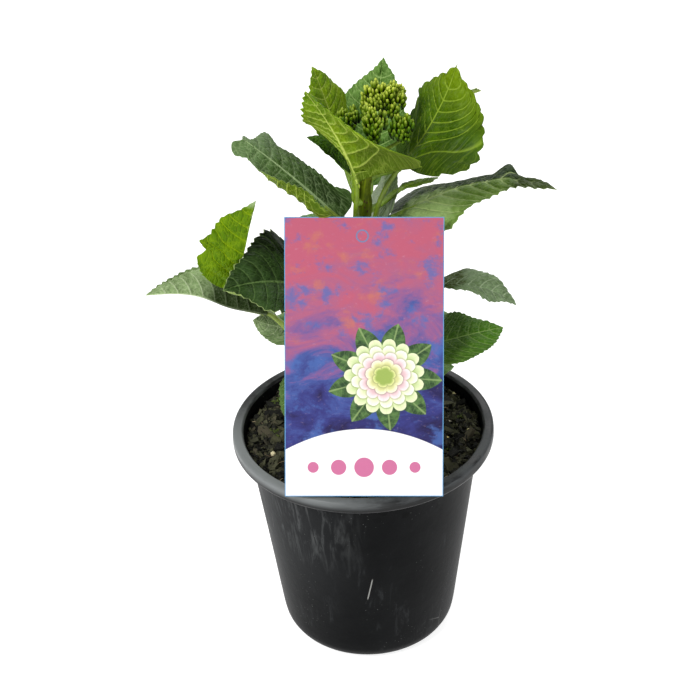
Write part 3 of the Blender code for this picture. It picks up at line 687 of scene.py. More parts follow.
# ---- leaf finish --------------------------------------------------------
def leaf_side(name, look, under):
    """Material of one side of a leaf: blade colour, veins and the fine net between them."""
    pal = look["under" if under else "upper"]
    base, vein = lin(pal["base"]), lin(pal["vein"])
    deep = lin(pal.get("deep", tuple(int(v * 0.72) for v in pal["base"])))
    s = Shader(name, roughness=pal.get("rough", 0.58 if under else 0.43),
               specular=pal.get("spec", 0.10))
    flat, lat = s.attr("flat", True), s.attr("lat", True)
    along, cross = s.attr("along"), s.attr("cross")
    cloud = s.noise(flat, 0.075, 3.0, 0.6)
    col = s.mix(s.smooth(cloud, 0.36, 0.66), deep, base)
    # painted light and shade: a half of the blade that faces the light gets a lighter colour of its own, a half turned
    # away a darker one
    if "left" in pal:
        col = s.mix(s.smooth(cross, 0.0, 0.10), col, s.mix(s.smooth(cloud, 0.3, 0.7), tuple(0.8 * v for v in lin(pal["left"])[:3]) + (1.0,), lin(pal["left"])))
    if "right" in pal:
        col = s.mix(s.smooth(cross, 0.0, -0.10), col, s.mix(s.smooth(cloud, 0.3, 0.7), tuple(0.8 * v for v in lin(pal["right"])[:3]) + (1.0,), lin(pal["right"])))
    calm = 1.0
    # bands along the blade in another tone; on some leaves a painted shade
    for colour, t0, t1, *quiet in pal.get("zones", ()):
        here = s.smooth(along, t0, t1)
        col = s.mix(here, col, lin(colour))
        if quiet:                                             # the veins hardly show in this zone
            calm = s.math("MULTIPLY", calm, s.math("SUBTRACT", 1.0, s.math("MULTIPLY", here, quiet[0])))
    ragged = s.math("MULTIPLY", s.math("SUBTRACT", s.noise(flat, 0.16, 3.0), 0.5), 0.9)
    for colour, t0, ts, q0, qs in pal.get("patches", ()):      # a patch of another tone, with a soft uneven edge; on several leaves a painted shade, on one a painted light
        dt = s.math("DIVIDE", s.math("SUBTRACT", along, t0), ts)
        dq = s.math("DIVIDE", s.math("SUBTRACT", cross, q0), qs)
        far = s.math("ADD", s.math("SQRT", s.math("ADD", s.math("MULTIPLY", dt, dt), s.math("MULTIPLY", dq, dq))), ragged)
        col = s.mix(s.smooth(far, 1.25, 0.65), col, lin(colour))
    for colour, e0, e1 in pal.get("margins", ()):
        col = s.mix(s.smooth(s.attr("edge"), e0, e1), col, lin(colour))
    fine = s.noise(flat, 0.9, 4.0, 0.7)
    col = s.mix(s.math("MULTIPLY", s.smooth(fine, 0.48, 0.75), 0.14), col, vein)
    # the net: elongated cells between the side veins, and a finer one inside them
    cell = pal.get("cell", 4.6)
    bent = s.wobble(lat, 0.20, 1.5)
    net = s.cells(s.scaled(bent, (1 / cell, 1.2 / cell, 1.0)), 1.0)
    net2 = s.cells(s.scaled(bent, (2.9 / cell, 3.1 / cell, 1.0), (3, 7, 0)), 1.0)
    m_net = s.smooth(net, 0.42 / cell, 0.06 / cell)
    m_net2 = s.smooth(net2, 0.13, 0.02)
    m_lat = s.smooth(s.attr("m_lat"), 1.4, 0.45)
    m_mid = s.smooth(s.attr("m_mid"), 1.35, 0.75)
    fade = s.smooth(s.attr("edge"), 0.2, 1.6)
    k_net, k_fine = pal.get("net", 0.26), pal.get("fine", 0.05)
    veins = s.math("MAXIMUM", s.math("MULTIPLY", m_net, k_net), s.math("MULTIPLY", m_net2, k_fine))
    veins = s.math("MAXIMUM", veins, s.math("MULTIPLY", m_lat, pal.get("lat", 0.70)))
    veins = s.math("MAXIMUM", s.math("MULTIPLY", veins, fade), s.math("MULTIPLY", m_mid, pal.get("mid", 1.0)))
    veins = s.math("MULTIPLY", veins, calm)
    col = s.mix(veins, col, vein)
    # a thin paler edge
    rim = s.math("MULTIPLY", s.smooth(s.attr("edge"), 0.55, 0.0), pal.get("rim", 0.45))
    col = s.mix(rim, col, vein)
    s.colour(col)
    rough = pal.get("rough", 0.58 if under else 0.43)
    s.rough(s.math("ADD", rough, s.math("MULTIPLY", s.math("SUBTRACT", fine, 0.5), 0.22)))
    # between the veins the upper side swells up and the under side sinks in
    swell = s.math("ADD", s.smooth(net, 0.0, 0.34), s.math("MULTIPLY", s.smooth(net2, 0.0, 0.4), 0.35))
    h = s.math("MULTIPLY", swell, -0.8 if under else 1.0)
    h = s.math("ADD", h, s.math("MULTIPLY", s.noise(flat, 1.3, 3.0, 0.6), 0.30))
    s.bump(h, pal.get("bump", 0.42))
    return s.mat


def leaf_materials(name, look):
    st = Shader("stalk_" + name, roughness=0.42, specular=0.5)
    tone = look.get("stalk_tone", (128, 160, 48))
    flat = st.attr("flat", True)
    n1 = st.noise(flat, 0.25, 3.0)
    col = st.mix(st.smooth(n1, 0.35, 0.7), tuple(v * 0.62 for v in lin(tone)[:3]) + (1.0,), lin(tone))
    streak = st.noise(st.scaled(flat, (1.6, 0.09, 1.0)), 1.0, 3.0, 0.6)
    col = st.mix(st.math("MULTIPLY", st.smooth(streak, 0.45, 0.75), 0.45), col, lin(tuple(min(255, int(v * 1.28)) for v in tone)))
    fleck = st.smooth(st.noise(flat, 1.4, 2.0, 0.5), 0.66, 0.74)
    col = st.mix(st.math("MULTIPLY", fleck, look.get("flecks", 0.25)), col, lin((92, 62, 40)))
    st.colour(col)
    st.bump(st.math("ADD", streak, st.math("MULTIPLY", n1, 0.5)), 0.25)
    return [leaf_side("upper_" + name, look, False), leaf_side("under_" + name, look, True), st.mat]


# ---- leaf palettes ------------------------------------------------------
# display colours; a side's own "left" and "right" are used where the two halves differ, as painted light on a half
# that faces the light and painted shade on one turned away
def side(base, vein, deep=None, **more):
    out = dict(base=base, vein=vein, **more)
    if deep:
        out["deep"] = deep
    return out


PLAIN_UPPER = side((92, 132, 58), (150, 178, 110), (66, 102, 40))
PLAIN_UNDER = side((140, 162, 104), (184, 196, 140), (116, 140, 84))
DEFAULT_LOOK = dict(upper=PLAIN_UPPER, under=PLAIN_UNDER)

LOOKS = {
    "leaf_top_front_left": dict(
        form=dict(lobes=[(1, 0.74, 0.17, -9), (1, 0.03, 0.09, -24), (1, 0.40, 0.18, 1.5)], heart=[(1, 9.5, 0.32, 0.5, 1)]),
        seed=3, veins=8, vein_from=0.012, vein_to=0.80, teeth=(7.4, 2.3), puff=1.5, midrib=1.7, stalk=1.75,
        double=0.34, lat_ridge=0.95, ripple=0.5, wave=(1.2, 2.0), stalk_tone=(116, 144, 8),
        upper=side((98, 140, 0), (150, 180, 40), (72, 112, 0)),
        # painted shade: a dark patch at the foot of the under side's left half, where that half is shaded
        under=side((110, 138, 0), (180, 198, 92), (84, 114, 0), zones=[((96, 134, 0), 0.60, 0.95)], patches=[((68, 92, 0), 0.12, 0.3, 0.75, 0.7)], net=0.18, cell=6.0, bump=0.6, lat=0.52)),
    "leaf_top_back_left": dict(
        form=dict(length=53.5),
        seed=5, veins=7, teeth=(5.6, 1.7), puff=1.3, wave=(1.2, 3.0), midrib=2.2,
        upper=side((120, 150, 0), (176, 198, 84), (98, 134, 0), lat=0.9, net=0.12),
        under=side((128, 154, 30), (180, 196, 90))),
    "leaf_top_back": dict(
        form=dict(lobes=[(-1, 0.85, 0.12, 3), (1, 0.90, 0.08, -2)]),
        seed=6, veins=10, teeth=(4.6, 1.2), puff=1.7,
        upper=side((98, 136, 58), (156, 186, 110), (62, 98, 30), bump=0.6),
        under=side((140, 162, 108), (186, 196, 140))),
    "leaf_top_back_right": dict(
        seed=8, veins=7, teeth=(5.6, 1.6), puff=1.2,
        upper=side((96, 138, 0), (156, 182, 70), (66, 104, 0)),
        under=side((140, 164, 72), (190, 200, 120))),
    "leaf_top_right": dict(
        form=dict(length=67.5, lobes=[(-1, 0.90, 0.10, -6), (-1, 0.50, 0.2, 1.5), (1, -0.02, 0.13, 32), (1, 0.90, 0.10, -3), (1, 0.62, 0.12, 1.5)],
                  heart=[(1, 10, 0.34, 0.7, 0.5), (-1, 12, 0.30, 0.5, 0.85)], hug=0.62, lead=0.30),
        seed=9, veins=7, vein_from=0.04, vein_to=0.74, sweep=1.1, sweep_max=0.70, arc_pow=1.15, teeth=(9.2, 3.8), blunt=True, hook=0.30, puff=1.3, midrib=1.5,
        wave=(1.4, 3.0), ripple=0.4, stalk=1.7, stalk_tone=(96, 118, 6),
        # painted shade: a dark patch at the foot of the right half
        upper=side((66, 98, 0), (140, 166, 50), (46, 76, 0), zones=[((108, 136, 0), 0.45, 1.0)], lat=0.80, net=0.16, cell=7.0, patches=[((42, 66, 2), 0.12, 0.32, -0.8, 0.6)]),
        under=side((120, 150, 50), (176, 192, 104))),
    "leaf_small_left": dict(
        form=dict(length=38.5),
        seed=10, veins=6, teeth=(4.6, 1.2), puff=1.0,
        upper=side((52, 88, 6), (88, 124, 34), (30, 58, 0), bump=0.8),
        under=side((96, 128, 60), (150, 170, 96))),
    "leaf_mid_left": dict(
        form=dict(left=31, right=23, fold=(-52, 14), refold=(0, -6), curl=(158, -9), recurl=(-150, 0),
                  widest=0.5, lobes=[(-1, 0.80, 0.08, 20), (-1, 0.06, 0.12, 17), (-1, 0.55, 0.2, 1.0), (1, 0.97, 0.05, 10), (-1, 0.98, 0.03, 5),
                                     (1, 0.16, 0.12, 7), (1, 0.72, 0.16, 7)], tips=[(1, 5, 0.90)]),
        seed=11, veins=8, teeth=(4.8, 1.4), puff=0.8, midrib=1.8, double=0.3, stalk_tone=(146, 168, 60),
        upper=side((76, 104, 50), (156, 178, 128), (54, 82, 28), zones=[((96, 124, 74), 0.62, 0.95)], patches=[((40, 62, 20), 0.25, 0.22, -0.45, 0.4)], net=0.30, lat=0.38),
        under=side((84, 110, 2), (168, 188, 82), (62, 88, 0), net=0.4)),
    "leaf_mid_right": dict(
        form=dict(lobes=[(1, 0.68, 0.05, 5), (1, 0.45, 0.14, -2.5), (-1, 0.86, 0.09, 3), (1, 0.86, 0.09, 2)], bends=[(0.68, 0.05, 1.0, 0.7, 8)]),
        seed=12, veins=10, teeth=(6.6, 2.6), puff=1.3, sweep=1.1, midrib=1.6, stalk_tone=(140, 170, 60),
        # painted light and shade: the far, left half painted dark as shade, and a paler patch on the near half painted
        # light
        upper=side((122, 152, 72), (184, 202, 136), (98, 130, 50), left=(28, 54, 24), net=0.18, lat=0.85, patches=[((142, 168, 102), 0.22, 0.2, -0.3, 0.6)],
                   zones=[((48, 66, 10), 0.70, 0.80, 0.7)]),
        under=side((144, 166, 108), (190, 200, 146))),
    "leaf_small_right": dict(
        seed=13, veins=5, teeth=(3.4, 0.8), puff=0.8,
        upper=side((108, 142, 0), (160, 184, 50), (80, 112, 0)),
        under=side((140, 168, 50), (192, 204, 96))),
    "leaf_mid_back": dict(
        form=dict(lobes=[(-1, 0.12, 0.2, 10), (-1, 0.6, 0.3, 5)]),
        seed=14, veins=7, teeth=(4.0, 1.2), puff=1.0,
        # painted light and shade: the right half painted darker as shade, the left half lighter
        upper=side((104, 126, 84), (168, 184, 144), left=(166, 182, 152), right=(104, 130, 74)),
        under=side((130, 152, 100), (180, 192, 140))),
    "leaf_low_left_upright": dict(
        form=dict(lobes=[(1, 0.42, 0.045, -5), (1, 0.52, 0.04, 3), (1, 0.78, 0.10, 3)], bends=[(0.40, 0.24, 0.0, 3.0, 3.2)]),
        seed=15, veins=7, teeth=(5.2, 1.5), puff=1.4, wave=(1.6, 3.0), midrib=1.6, stalk_tone=(140, 166, 60),
        upper=side((98, 132, 0), (146, 172, 14), (76, 112, 0), zones=[((138, 160, 118), 0.90, 0.97)], mid=0.7, lat=0.55),
        under=side((146, 172, 120), (196, 208, 150))),
    "leaf_low_left_long": dict(
        form=dict(bends=[(0.30, 0.22, 0.0, 0.5, -4.5)]),
        seed=16, veins=9, teeth=(4.4, 1.2), puff=0.9, stalk_tone=(146, 168, 70),
        upper=side((40, 62, 4), (84, 106, 40), (26, 44, 0), zones=[((132, 156, 104), 0.42, 0.50)]),
        # painted shade: the under side darkened from the foot to nearly halfway, its veins quieted, where it lies in
        # shade
        under=side((138, 162, 110), (190, 204, 164), (110, 134, 82), zones=[((26, 44, 0), 0.62, 0.42, 0.85)], lat=0.55)),
    "leaf_low_left_front": dict(
        form=dict(lobes=[(-1, 0.42, 0.12, 1), (-1, 0.72, 0.12, -3), (1, 0.30, 0.22, 1), (1, 0.70, 0.12, 6.5)]),
        seed=17, veins=7, teeth=(5.4, 2.5), puff=1.4, midrib=2.4, stalk_tone=(146, 168, 70),
        # painted shadow: a near-black patch at the right half's edge, the shadow of its folded-over part
        upper=side((44, 68, 28), (98, 124, 70), (30, 50, 14), patches=[((12, 26, 2), 0.40, 0.28, -1.0, 0.48)], lat=0.45, net=0.14,
                   margins=[((150, 168, 104), 0.7, 0.1)], rim=0.2),
        under=side((120, 146, 100), (176, 190, 140))),
    "leaf_low_left_small": dict(
        form=dict(left=25, length=32),
        seed=18, veins=5, teeth=(3.2, 0.9), puff=1.6, ripple=0.7,
        upper=side((134, 156, 108), (188, 202, 160), (92, 118, 66)),
        under=side((150, 170, 130), (196, 206, 170))),
    "leaf_low_right_upper": dict(
        form=dict(lobes=[(-1, 0.30, 0.22, -12), (-1, 0.47, 0.11, -6), (-1, 0.72, 0.09, 4), (1, 0.24, 0.10, 5)]),
        seed=19, veins=8, teeth=(5.0, 1.8), puff=1.5, stalk_tone=(120, 146, 66),
        upper=side((114, 136, 98), (158, 176, 140), (90, 112, 72), patches=[((60, 76, 4), 0.22, 0.24, 0.0, 1.3)], lat=0.8, net=0.30),
        under=side((140, 160, 116), (186, 196, 150))),
    "leaf_low_right_front": dict(
        form=dict(lobes=[(-1, 0.25, 0.2, -5)]),
        seed=20, veins=8, teeth=(4.2, 1.2), puff=1.1, stalk_tone=(120, 150, 62),
        upper=side((68, 106, 26), (132, 160, 88), (50, 84, 12), zones=[((62, 108, 12), 0.45, 0.9)], lat=0.6),
        under=side((136, 160, 100), (186, 196, 140))),
    "leaf_low_right_small": dict(form=dict(length=37, left=15, right=15), upper=PLAIN_UPPER, under=PLAIN_UNDER),
    "leaf_low_front": dict(
        seed=21, veins=6, teeth=(3.6, 1.0), puff=0.9,
        upper=side((70, 100, 44), (120, 146, 86)), under=side((128, 152, 92), (176, 190, 130))),
}


# ---- stems --------------------------------------------------------------
def smooth_rows(rows, n):
    """Stations joined by one smooth curve."""
    rows = np.array(rows, float)
    z = rows[:, 2]
    zz = np.linspace(z[0], z[-1], n)
    out = []
    for k in (0, 1, 3):
        m = np.gradient(rows[:, k], z)
        v = np.empty(n)
        for i, q in enumerate(zz):
            j = min(max(np.searchsorted(z, q) - 1, 0), len(z) - 2)
            h = z[j + 1] - z[j]
            t = (q - z[j]) / h
            v[i] = ((2 * t ** 3 - 3 * t * t + 1) * rows[j, k] + (t ** 3 - 2 * t * t + t) * h * m[j]
                    + (3 * t * t - 2 * t ** 3) * rows[j + 1, k] + (t ** 3 - t * t) * h * m[j + 1])
        out.append(v)
    return np.stack([out[0], out[1], zz], -1), out[2]


def round_coord(ang, run, radius, shift):
    """Seamless coordinates round a stem: two across it and one along it."""
    return np.stack([np.cos(ang) * radius, np.sin(ang) * radius + shift, run], -1)


def stem_material(name, green, dark, fleck, flecks):
    s = Shader(name, roughness=0.5, specular=0.14)
    flat = s.attr("flat", True)
    n1 = s.noise(flat, 0.12, 3.0)
    col = s.mix(s.smooth(n1, 0.35, 0.68), lin(dark), lin(green))
    streak = s.noise(s.scaled(flat, (1.0, 1.0, 0.07)), 1.0, 4.0, 0.6)
    col = s.mix(s.math("MULTIPLY", s.smooth(streak, 0.42, 0.72), 0.5), col, lin(tuple(int(v * 1.35) for v in green)))
    spot = s.cells(s.scaled(flat, (0.42, 0.42, 0.20)), 1.0, "F1")
    m = s.smooth(spot, 0.26, 0.16)
    col = s.mix(s.math("MULTIPLY", m, flecks), col, lin(fleck))
    age = s.smooth(s.attr("height"), 178.0, 156.0)
    col = s.mix(s.math("MULTIPLY", age, 0.75), col, lin((96, 84, 58)))
    s.colour(col)
    h = s.math("ADD", streak, s.math("MULTIPLY", m, 0.6))
    s.bump(h, 0.35)
    return s.mat


def stems_piece():
    pile = Pile()
    joints = {}
    for spec in LEAVES.values():
        joints.setdefault(spec["node"][0], []).append(spec["node"][1])
    for name in ("stem_main", "shoot_left", "shoot_right", "shoot_back"):
        rows = STEMS[name]
        n = 110
        path, rad = smooth_rows(rows, n)
        path[0, 2] -= 3.0            # the foot goes down into the mix
        rad = rad.copy()
        for z in joints.get(name, ()):
            rad = rad + 0.55 * np.exp(-((path[:, 2] - z) / 2.6) ** 2)
        rad = rad + 1.6 * np.exp(-((path[:, 2] - path[0, 2]) / 4.5) ** 2)
        rad[-1] *= 0.72
        verts, faces, ang, run = tube(path, rad, 28, shape=lambda a, k: 1 + 0.025 * np.cos(3 * a + 4 * k) + 0.02 * np.cos(5 * a - 7 * k))
        pile.add(verts, faces, 0, flat=round_coord(ang, run, 4.6, 37.0 * len(name)),
                 height=verts[:, 2])
    mat = stem_material("stem_skin", (98, 112, 8), (60, 74, 4), (62, 30, 30), 0.85)
    pile.build("look_stems", [mat], ["stem_main", "shoot_left", "shoot_right", "shoot_back"])


# ---- flower head --------------------------------------------------------


def bud(pile, base, way, length, width, shade, rng, deep=0.0):
    """One closed bud: a small drawn-out drop on a thin foot."""
    s = unit(np.cross(way, [0.31, 0.2, 0.93]))
    b = np.cross(way, s)
    sides = 7
    ang = np.linspace(0, 2 * pi, sides, endpoint=False) + rng.uniform(0, 1)
    prof = ((0.0, 0.44), (0.30, 0.80), (0.56, 1.0), (0.80, 0.84), (0.94, 0.42))
    rings = []
    for h, r in prof:
        rr = r * width / 2 * (1 + 0.08 * np.cos(4 * ang))
        rings.append(base + way * h * length + (np.cos(ang) * rr)[:, None] * s + (np.sin(ang) * rr)[:, None] * b)
    verts = np.vstack(rings + [(base + way * length)[None, :]])
    faces = grid_faces(len(prof), sides, wrap=True, flip=True)
    top = (len(prof) - 1) * sides
    faces += [(top + k, top + (k + 1) % sides, len(verts) - 1) for k in range(sides)]
    faces.append(tuple(range(sides))[::-1])
    # deep lowers up, which paints the bud darker as shade
    pile.add(verts, faces, 0, up=(1 - deep) * np.r_[np.repeat([p[0] for p in prof], sides), 1.0], shade=shade)


def tuft(pile, heart, out, size, shade, rng, deep=0.0):
    """A bouquet of closed buds: one on top, rings of upright ones round it, each ring lower and painted darker, as
    shade on the tuft's sides.
    """
    grow = unit(out * 0.32 + UP * 0.95 + rng.normal(0, 0.10, 3))
    lean = unit(np.cross(grow, [0.2, 0.5, 0.84]))
    other = np.cross(grow, lean)
    turn = rng.uniform(0, 6.28)
    for ring, (count, drop, far, flare) in enumerate(((1, -0.8, 0.0, 0.0), (4, 0.4, 1.6, 0.08),
                                                       (6, 3.0, 2.6, 0.14), (6, 5.8, 3.1, 0.22))):
        for m in range(count):
            a = turn + 2 * pi * (m + 0.5 * (ring % 2)) / count + rng.uniform(-0.22, 0.22)
            aside = cos(a) * lean + sin(a) * other
            foot = heart - grow * (2.6 + drop + rng.uniform(-0.6, 0.9)) * size + aside * far * size * rng.uniform(0.80, 1.08)
            way = unit(grow + flare * aside + rng.normal(0, 0.06, 3))
            # painted shade: each lower ring is darker, so the tuft's top reads lit and its sides shaded
            bud(pile, foot, way, rng.uniform(5.0, 7.0) * size ** 0.5, rng.uniform(1.9, 2.6) * size ** 0.4,
                float(np.clip(shade + 0.12 - 0.17 * ring + rng.uniform(-0.22, 0.28), 0, 1)), rng, deep=deep)
    return grow


# the largest tufts of each cluster: offset from the cluster's middle, and size
TUFTS = {
    "bud_cluster_top": ((-9, 0, 6, 1.2), (-4, 9, 5, 1.0), (0, 2, 6, 1.05), (7, 2, 7, 0.95), (12, -5, 3, 0.9),
                        (-2, -6, 3, 0.9), (7, -10, -2, 0.9), (-7, -9, 2, 0.9), (12, 6, 3, 0.9)),
    "bud_cluster_front": ((-3, 7, 6, 1.1), (6, 5, 3, 1.0), (-4, -1, 2, 1.05), (3, -2, 2, 1.0), (0, -5, -4, 0.95)),
    "bud_cluster_left": ((-1, -3, 2, 1.1), (-5, 3, 2, 0.95), (2, 3, 3, 0.95)),
    "bud_cluster_right": ((-4, -3, 3, 1.1), (4, 0, 6, 1.0), (-2, 3, 5, 0.95), (1, -4, -2, 0.95)),
}


def flower_head():
    """Clusters of upright tufts, each a bunch of closed buds on a short branchlet."""
    rng = np.random.default_rng(7)
    pile = Pile()
    for name, (centre, size, seed) in CLUSTERS.items():
        centre, size = np.array(centre), np.array(size) * 0.9
        core = centre - UP * size[2] * 0.55
        spots = [(centre + np.array(row[:3], float), row[3], 0.0) for row in TUFTS[name]]
        for layer, gap, low in ((0.82, 7.6, -0.40), (0.45, 7.0, -0.2)):      # smaller tufts fill in round them
            for k in range(40):
                z = 1 - (1 - low) * (k + 0.5) / 40
                phi = k * pi * (3 - sqrt(5)) + seed
                d = np.array([sqrt(1 - z * z) * cos(phi), sqrt(1 - z * z) * sin(phi), z])
                spot = centre + d * size * (layer + rng.normal(0, 0.05))
                if min(np.linalg.norm(spot - other[0]) for other in spots) > gap:
                    # painted shade: the inner layer gets deep 0.4, which darkens its buds as the shaded inside of the
                    # head
                    spots.append((spot, rng.uniform(0.75, 0.95), 0.0 if layer > 0.6 else 0.4))
        for spot, scale, deep in spots:
            out = unit(spot - centre + UP * 0.5)
            tone = float(np.clip((spot[2] - 386.0) / 22.0, 0.05, 0.9)) * rng.uniform(0.75, 1.15)
            grow = tuft(pile, spot, out, scale, tone, rng, deep)
            mid = core + (spot - core) * 0.5 - UP * 0.8
            t = np.linspace(0, 1, 6)[:, None]
            path = (1 - t) ** 2 * core + 2 * t * (1 - t) * mid + t * t * (spot - grow * 2.6 * scale)
            verts, faces, ang, run = tube(path, np.linspace(0.95, 0.7, 6), 6)
            pile.add(verts, faces, 0, up=0.30, shade=rng.uniform(0.0, 0.5))
            # the short branchlets fan out under the buds
            for m in range(5):
                a = 2 * pi * m / 5 + tone
                foot = spot - grow * 5.4 * scale
                side = unit(np.cross(grow, [0.3, 0.4, 0.86]))
                reach = (cos(a) * side + sin(a) * np.cross(grow, side)) * 2.6 * scale
                twig = np.vstack([foot - grow * 1.6, foot, foot + reach * 0.6 + grow * 1.2, foot + reach + grow * 2.4])
                verts, faces, ang, run = tube(twig, np.array([0.7, 0.6, 0.5, 0.4]) * scale, 5)
                pile.add(verts, faces, 0, up=0.32, shade=rng.uniform(0.1, 0.6))
    s = Shader("flower_buds", roughness=0.40, specular=0.22)
    up, shade = s.attr("up"), s.attr("shade")
    pos = s.object_coord()
    patch = s.noise(pos, 160.0, 2.0)
    # colour by lightness and by place on the bud: the foot painted dark as shade, the tip pale, partly the bud's own
    # paler tip and partly painted highlight
    dark = s.mix(shade, lin((14, 30, 0)), lin((28, 50, 0)))
    body = s.mix(shade, lin((54, 88, 0)), lin((112, 138, 2)))
    tip = s.mix(shade, lin((104, 138, 8)), lin((212, 222, 88)))
    tip = s.mix(s.smooth(patch, 0.58, 0.72), tip, lin((84, 118, 36)))
    col = s.mix(s.smooth(up, 0.10, 0.55), dark, body)
    col = s.mix(s.smooth(up, 0.55, 1.0), col, tip)
    s.colour(col)
    s.bump(s.noise(pos, 1400.0, 2.0), 0.12)
    pile.build("look_flower_buds", [s.mat], list(CLUSTERS))
    # the branches that carry the clusters
    arms = Pile()
    for name in ("bud_stalk_top", "bud_stalk_front", "bud_stalk_left", "bud_stalk_right"):
        path, rad = smooth_rows(STEMS[name], 30)
        cluster = np.array(CLUSTERS[name.replace("stalk", "cluster")][0])
        foot = stem_at("stem_main", 359.0)[0]
        path = np.vstack([foot, path[0] * 0.6 + foot * 0.4, path, path[-1] * 0.5 + cluster * 0.5, cluster])
        rad = np.r_[rad[0] * 1.3, rad[0] * 1.15, rad, rad[-1], rad[-1] * 0.8]
        verts, faces, ang, run = tube(path, rad, 16, shape=lambda a, k: 1 + 0.04 * np.cos(4 * a))
        arms.add(verts, faces, 0, flat=round_coord(ang, run, 1.6, 11.0 * len(name)), height=verts[:, 2])
    mat = stem_material("bud_stalk_skin", (128, 150, 52), (70, 96, 26), (96, 70, 40), 0.25)
    arms.build("look_bud_stalks", [mat], ["bud_stalk_top", "bud_stalk_front", "bud_stalk_left", "bud_stalk_right"])


# ---- pot ----------------------------------------------------------------
POT_H, RIM_R, RIM_IN = 165.0, 90.0, 83.2


def side_radius(z):
    t = (z - 17.0) / (149.5 - 17.0)
    return 62.4 + (79.0 - 62.4) * t


def rounded(points, radius, steps=5):
    """The profile with each corner that has a radius rounded off."""
    pts = [np.array(p[:2], float) for p in points]
    out = [pts[0]]
    for k in range(1, len(pts) - 1):
        r = points[k][2] if len(points[k]) > 2 else radius
        a, b, c = pts[k - 1], pts[k], pts[k + 1]
        u, v = a - b, c - b
        lu, lv = np.linalg.norm(u), np.linalg.norm(v)
        r = min(r, 0.45 * lu, 0.45 * lv)
        p, q = b + u / lu * r, b + v / lv * r
        for t in np.linspace(0, 1, steps):
            out.append((1 - t) ** 2 * p + 2 * t * (1 - t) * b + t * t * q)
    out.append(pts[-1])
    return np.array(out)


def pot_piece():
    profile = [
        (0.0, 1.8), (49.6, 1.8, 3), (57.0, 5.4, 4), (60.8, 17.2, 6),
        (side_radius(70) - 1.6, 70), (side_radius(118) - 1.6, 118), (side_radius(147.5) - 1.9, 146.6, 1.2),
        (79.6, 149.2, 0.8), (81.3, 150.6, 0.8), (82.5, 163.2, 0.6), (83.5, 165.0, 0.7), (87.6, 165.0, 1.0),
        (89.7, 164.2, 1.4), (90.0, 160.9, 1.0), (89.9, 157.6, 0.9), (89.0, 156.2, 0.5), (84.6, 155.9, 0.9),
        (82.9, 152.6, 1.6), (79.1, 149.6, 1.2), (side_radius(120), 120), (side_radius(90), 90),
        (side_radius(60), 60), (side_radius(35), 35), (62.4, 17.0, 6), (61.0, 9.4, 4), (57.6, 3.7, 3.5),
        (52.6, 0.7, 1.6), (50.0, 0.0, 0.6), (0.0, 0.0),
    ]
    prof = rounded(profile, 1.0)
    segs = 240
    ang = np.linspace(0, 2 * pi, segs, endpoint=False)
    verts = np.stack([np.outer(prof[:, 0], np.cos(ang)), np.outer(prof[:, 0], np.sin(ang)),
                      np.outer(prof[:, 1], np.ones(segs))], -1)
    verts = verts[1:-1].reshape(-1, 3)
    n = len(prof) - 2
    # moulding and handling marks: a very slight wave of the thin wall, and two faint grooves below the rim
    r = np.hypot(verts[:, 0], verts[:, 1])
    th = np.arctan2(verts[:, 1], verts[:, 0])
    z = verts[:, 2]
    wave = (0.22 * np.sin(3 * th + 0.6) + 0.12 * np.sin(5 * th + z / 40.0)) * ease(z, 20, 90) * (1 - ease(z, 140, 150))
    wave = wave - 0.10 * np.exp(-((z - 138) / 2.2) ** 2) - 0.10 * np.exp(-((z - 131) / 1.8) ** 2)
    scale = np.where(r > 1, (r + wave) / np.maximum(r, 1e-6), 1.0)
    verts[:, 0] *= scale
    verts[:, 1] *= scale
    pile = Pile()
    faces = grid_faces(n, segs, wrap=True)
    c0, c1 = len(verts), len(verts) + 1
    verts = np.vstack([verts, [[0, 0, 1.8], [0, 0, 0.0]]])
    faces += [(c0, k, (k + 1) % segs) for k in range(segs)]
    faces += [(c1, (n - 1) * segs + (k + 1) % segs, (n - 1) * segs + k) for k in range(segs)]
    pile.add(verts, faces, 0)
    pile_z, pile_r = verts[:, 2], np.hypot(verts[:, 0], verts[:, 1])
    # short gussets inside, between the ledge and the wall of the rim
    webs = Pile()
    for k in range(12):
        a = 2 * pi * (k + 0.35) / 12
        er = np.array([cos(a), sin(a), 0])
        et = np.array([-sin(a), cos(a), 0])
        pts = [er * r + UP * z for r, z in ((80.2, 149.4), (83.0, 150.6), (83.2, 161.0), (82.3, 161.4))]
        vs = np.vstack([np.array(pts) - et * 0.7, np.array(pts) + et * 0.7])
        webs.add(vs, [(0, 1, 2, 3), (7, 6, 5, 4), (0, 4, 5, 1), (1, 5, 6, 2), (2, 6, 7, 3), (3, 7, 4, 0)], 0)
    # the outer lip is shinier, and its colour carries painted sheen and a painted highlight
    for k, f in enumerate(pile.f):
        z = float(np.mean([pile_z[q] for q in f]))
        far = float(np.mean([pile_r[q] for q in f]))
        pile.m[k] = 1 if z > 154.5 and far > 82.5 else 0
    mats = [pot_skin("pot_plastic_skin", 0.035, False), pot_skin("pot_rim_skin", 0.20, True)]
    ob = pile.build("look_nursery_pot", mats, ["nursery_pot"])
    cut_drains(ob)
    webs.build("look_pot_gussets", [mats[0]], [], smooth=False)


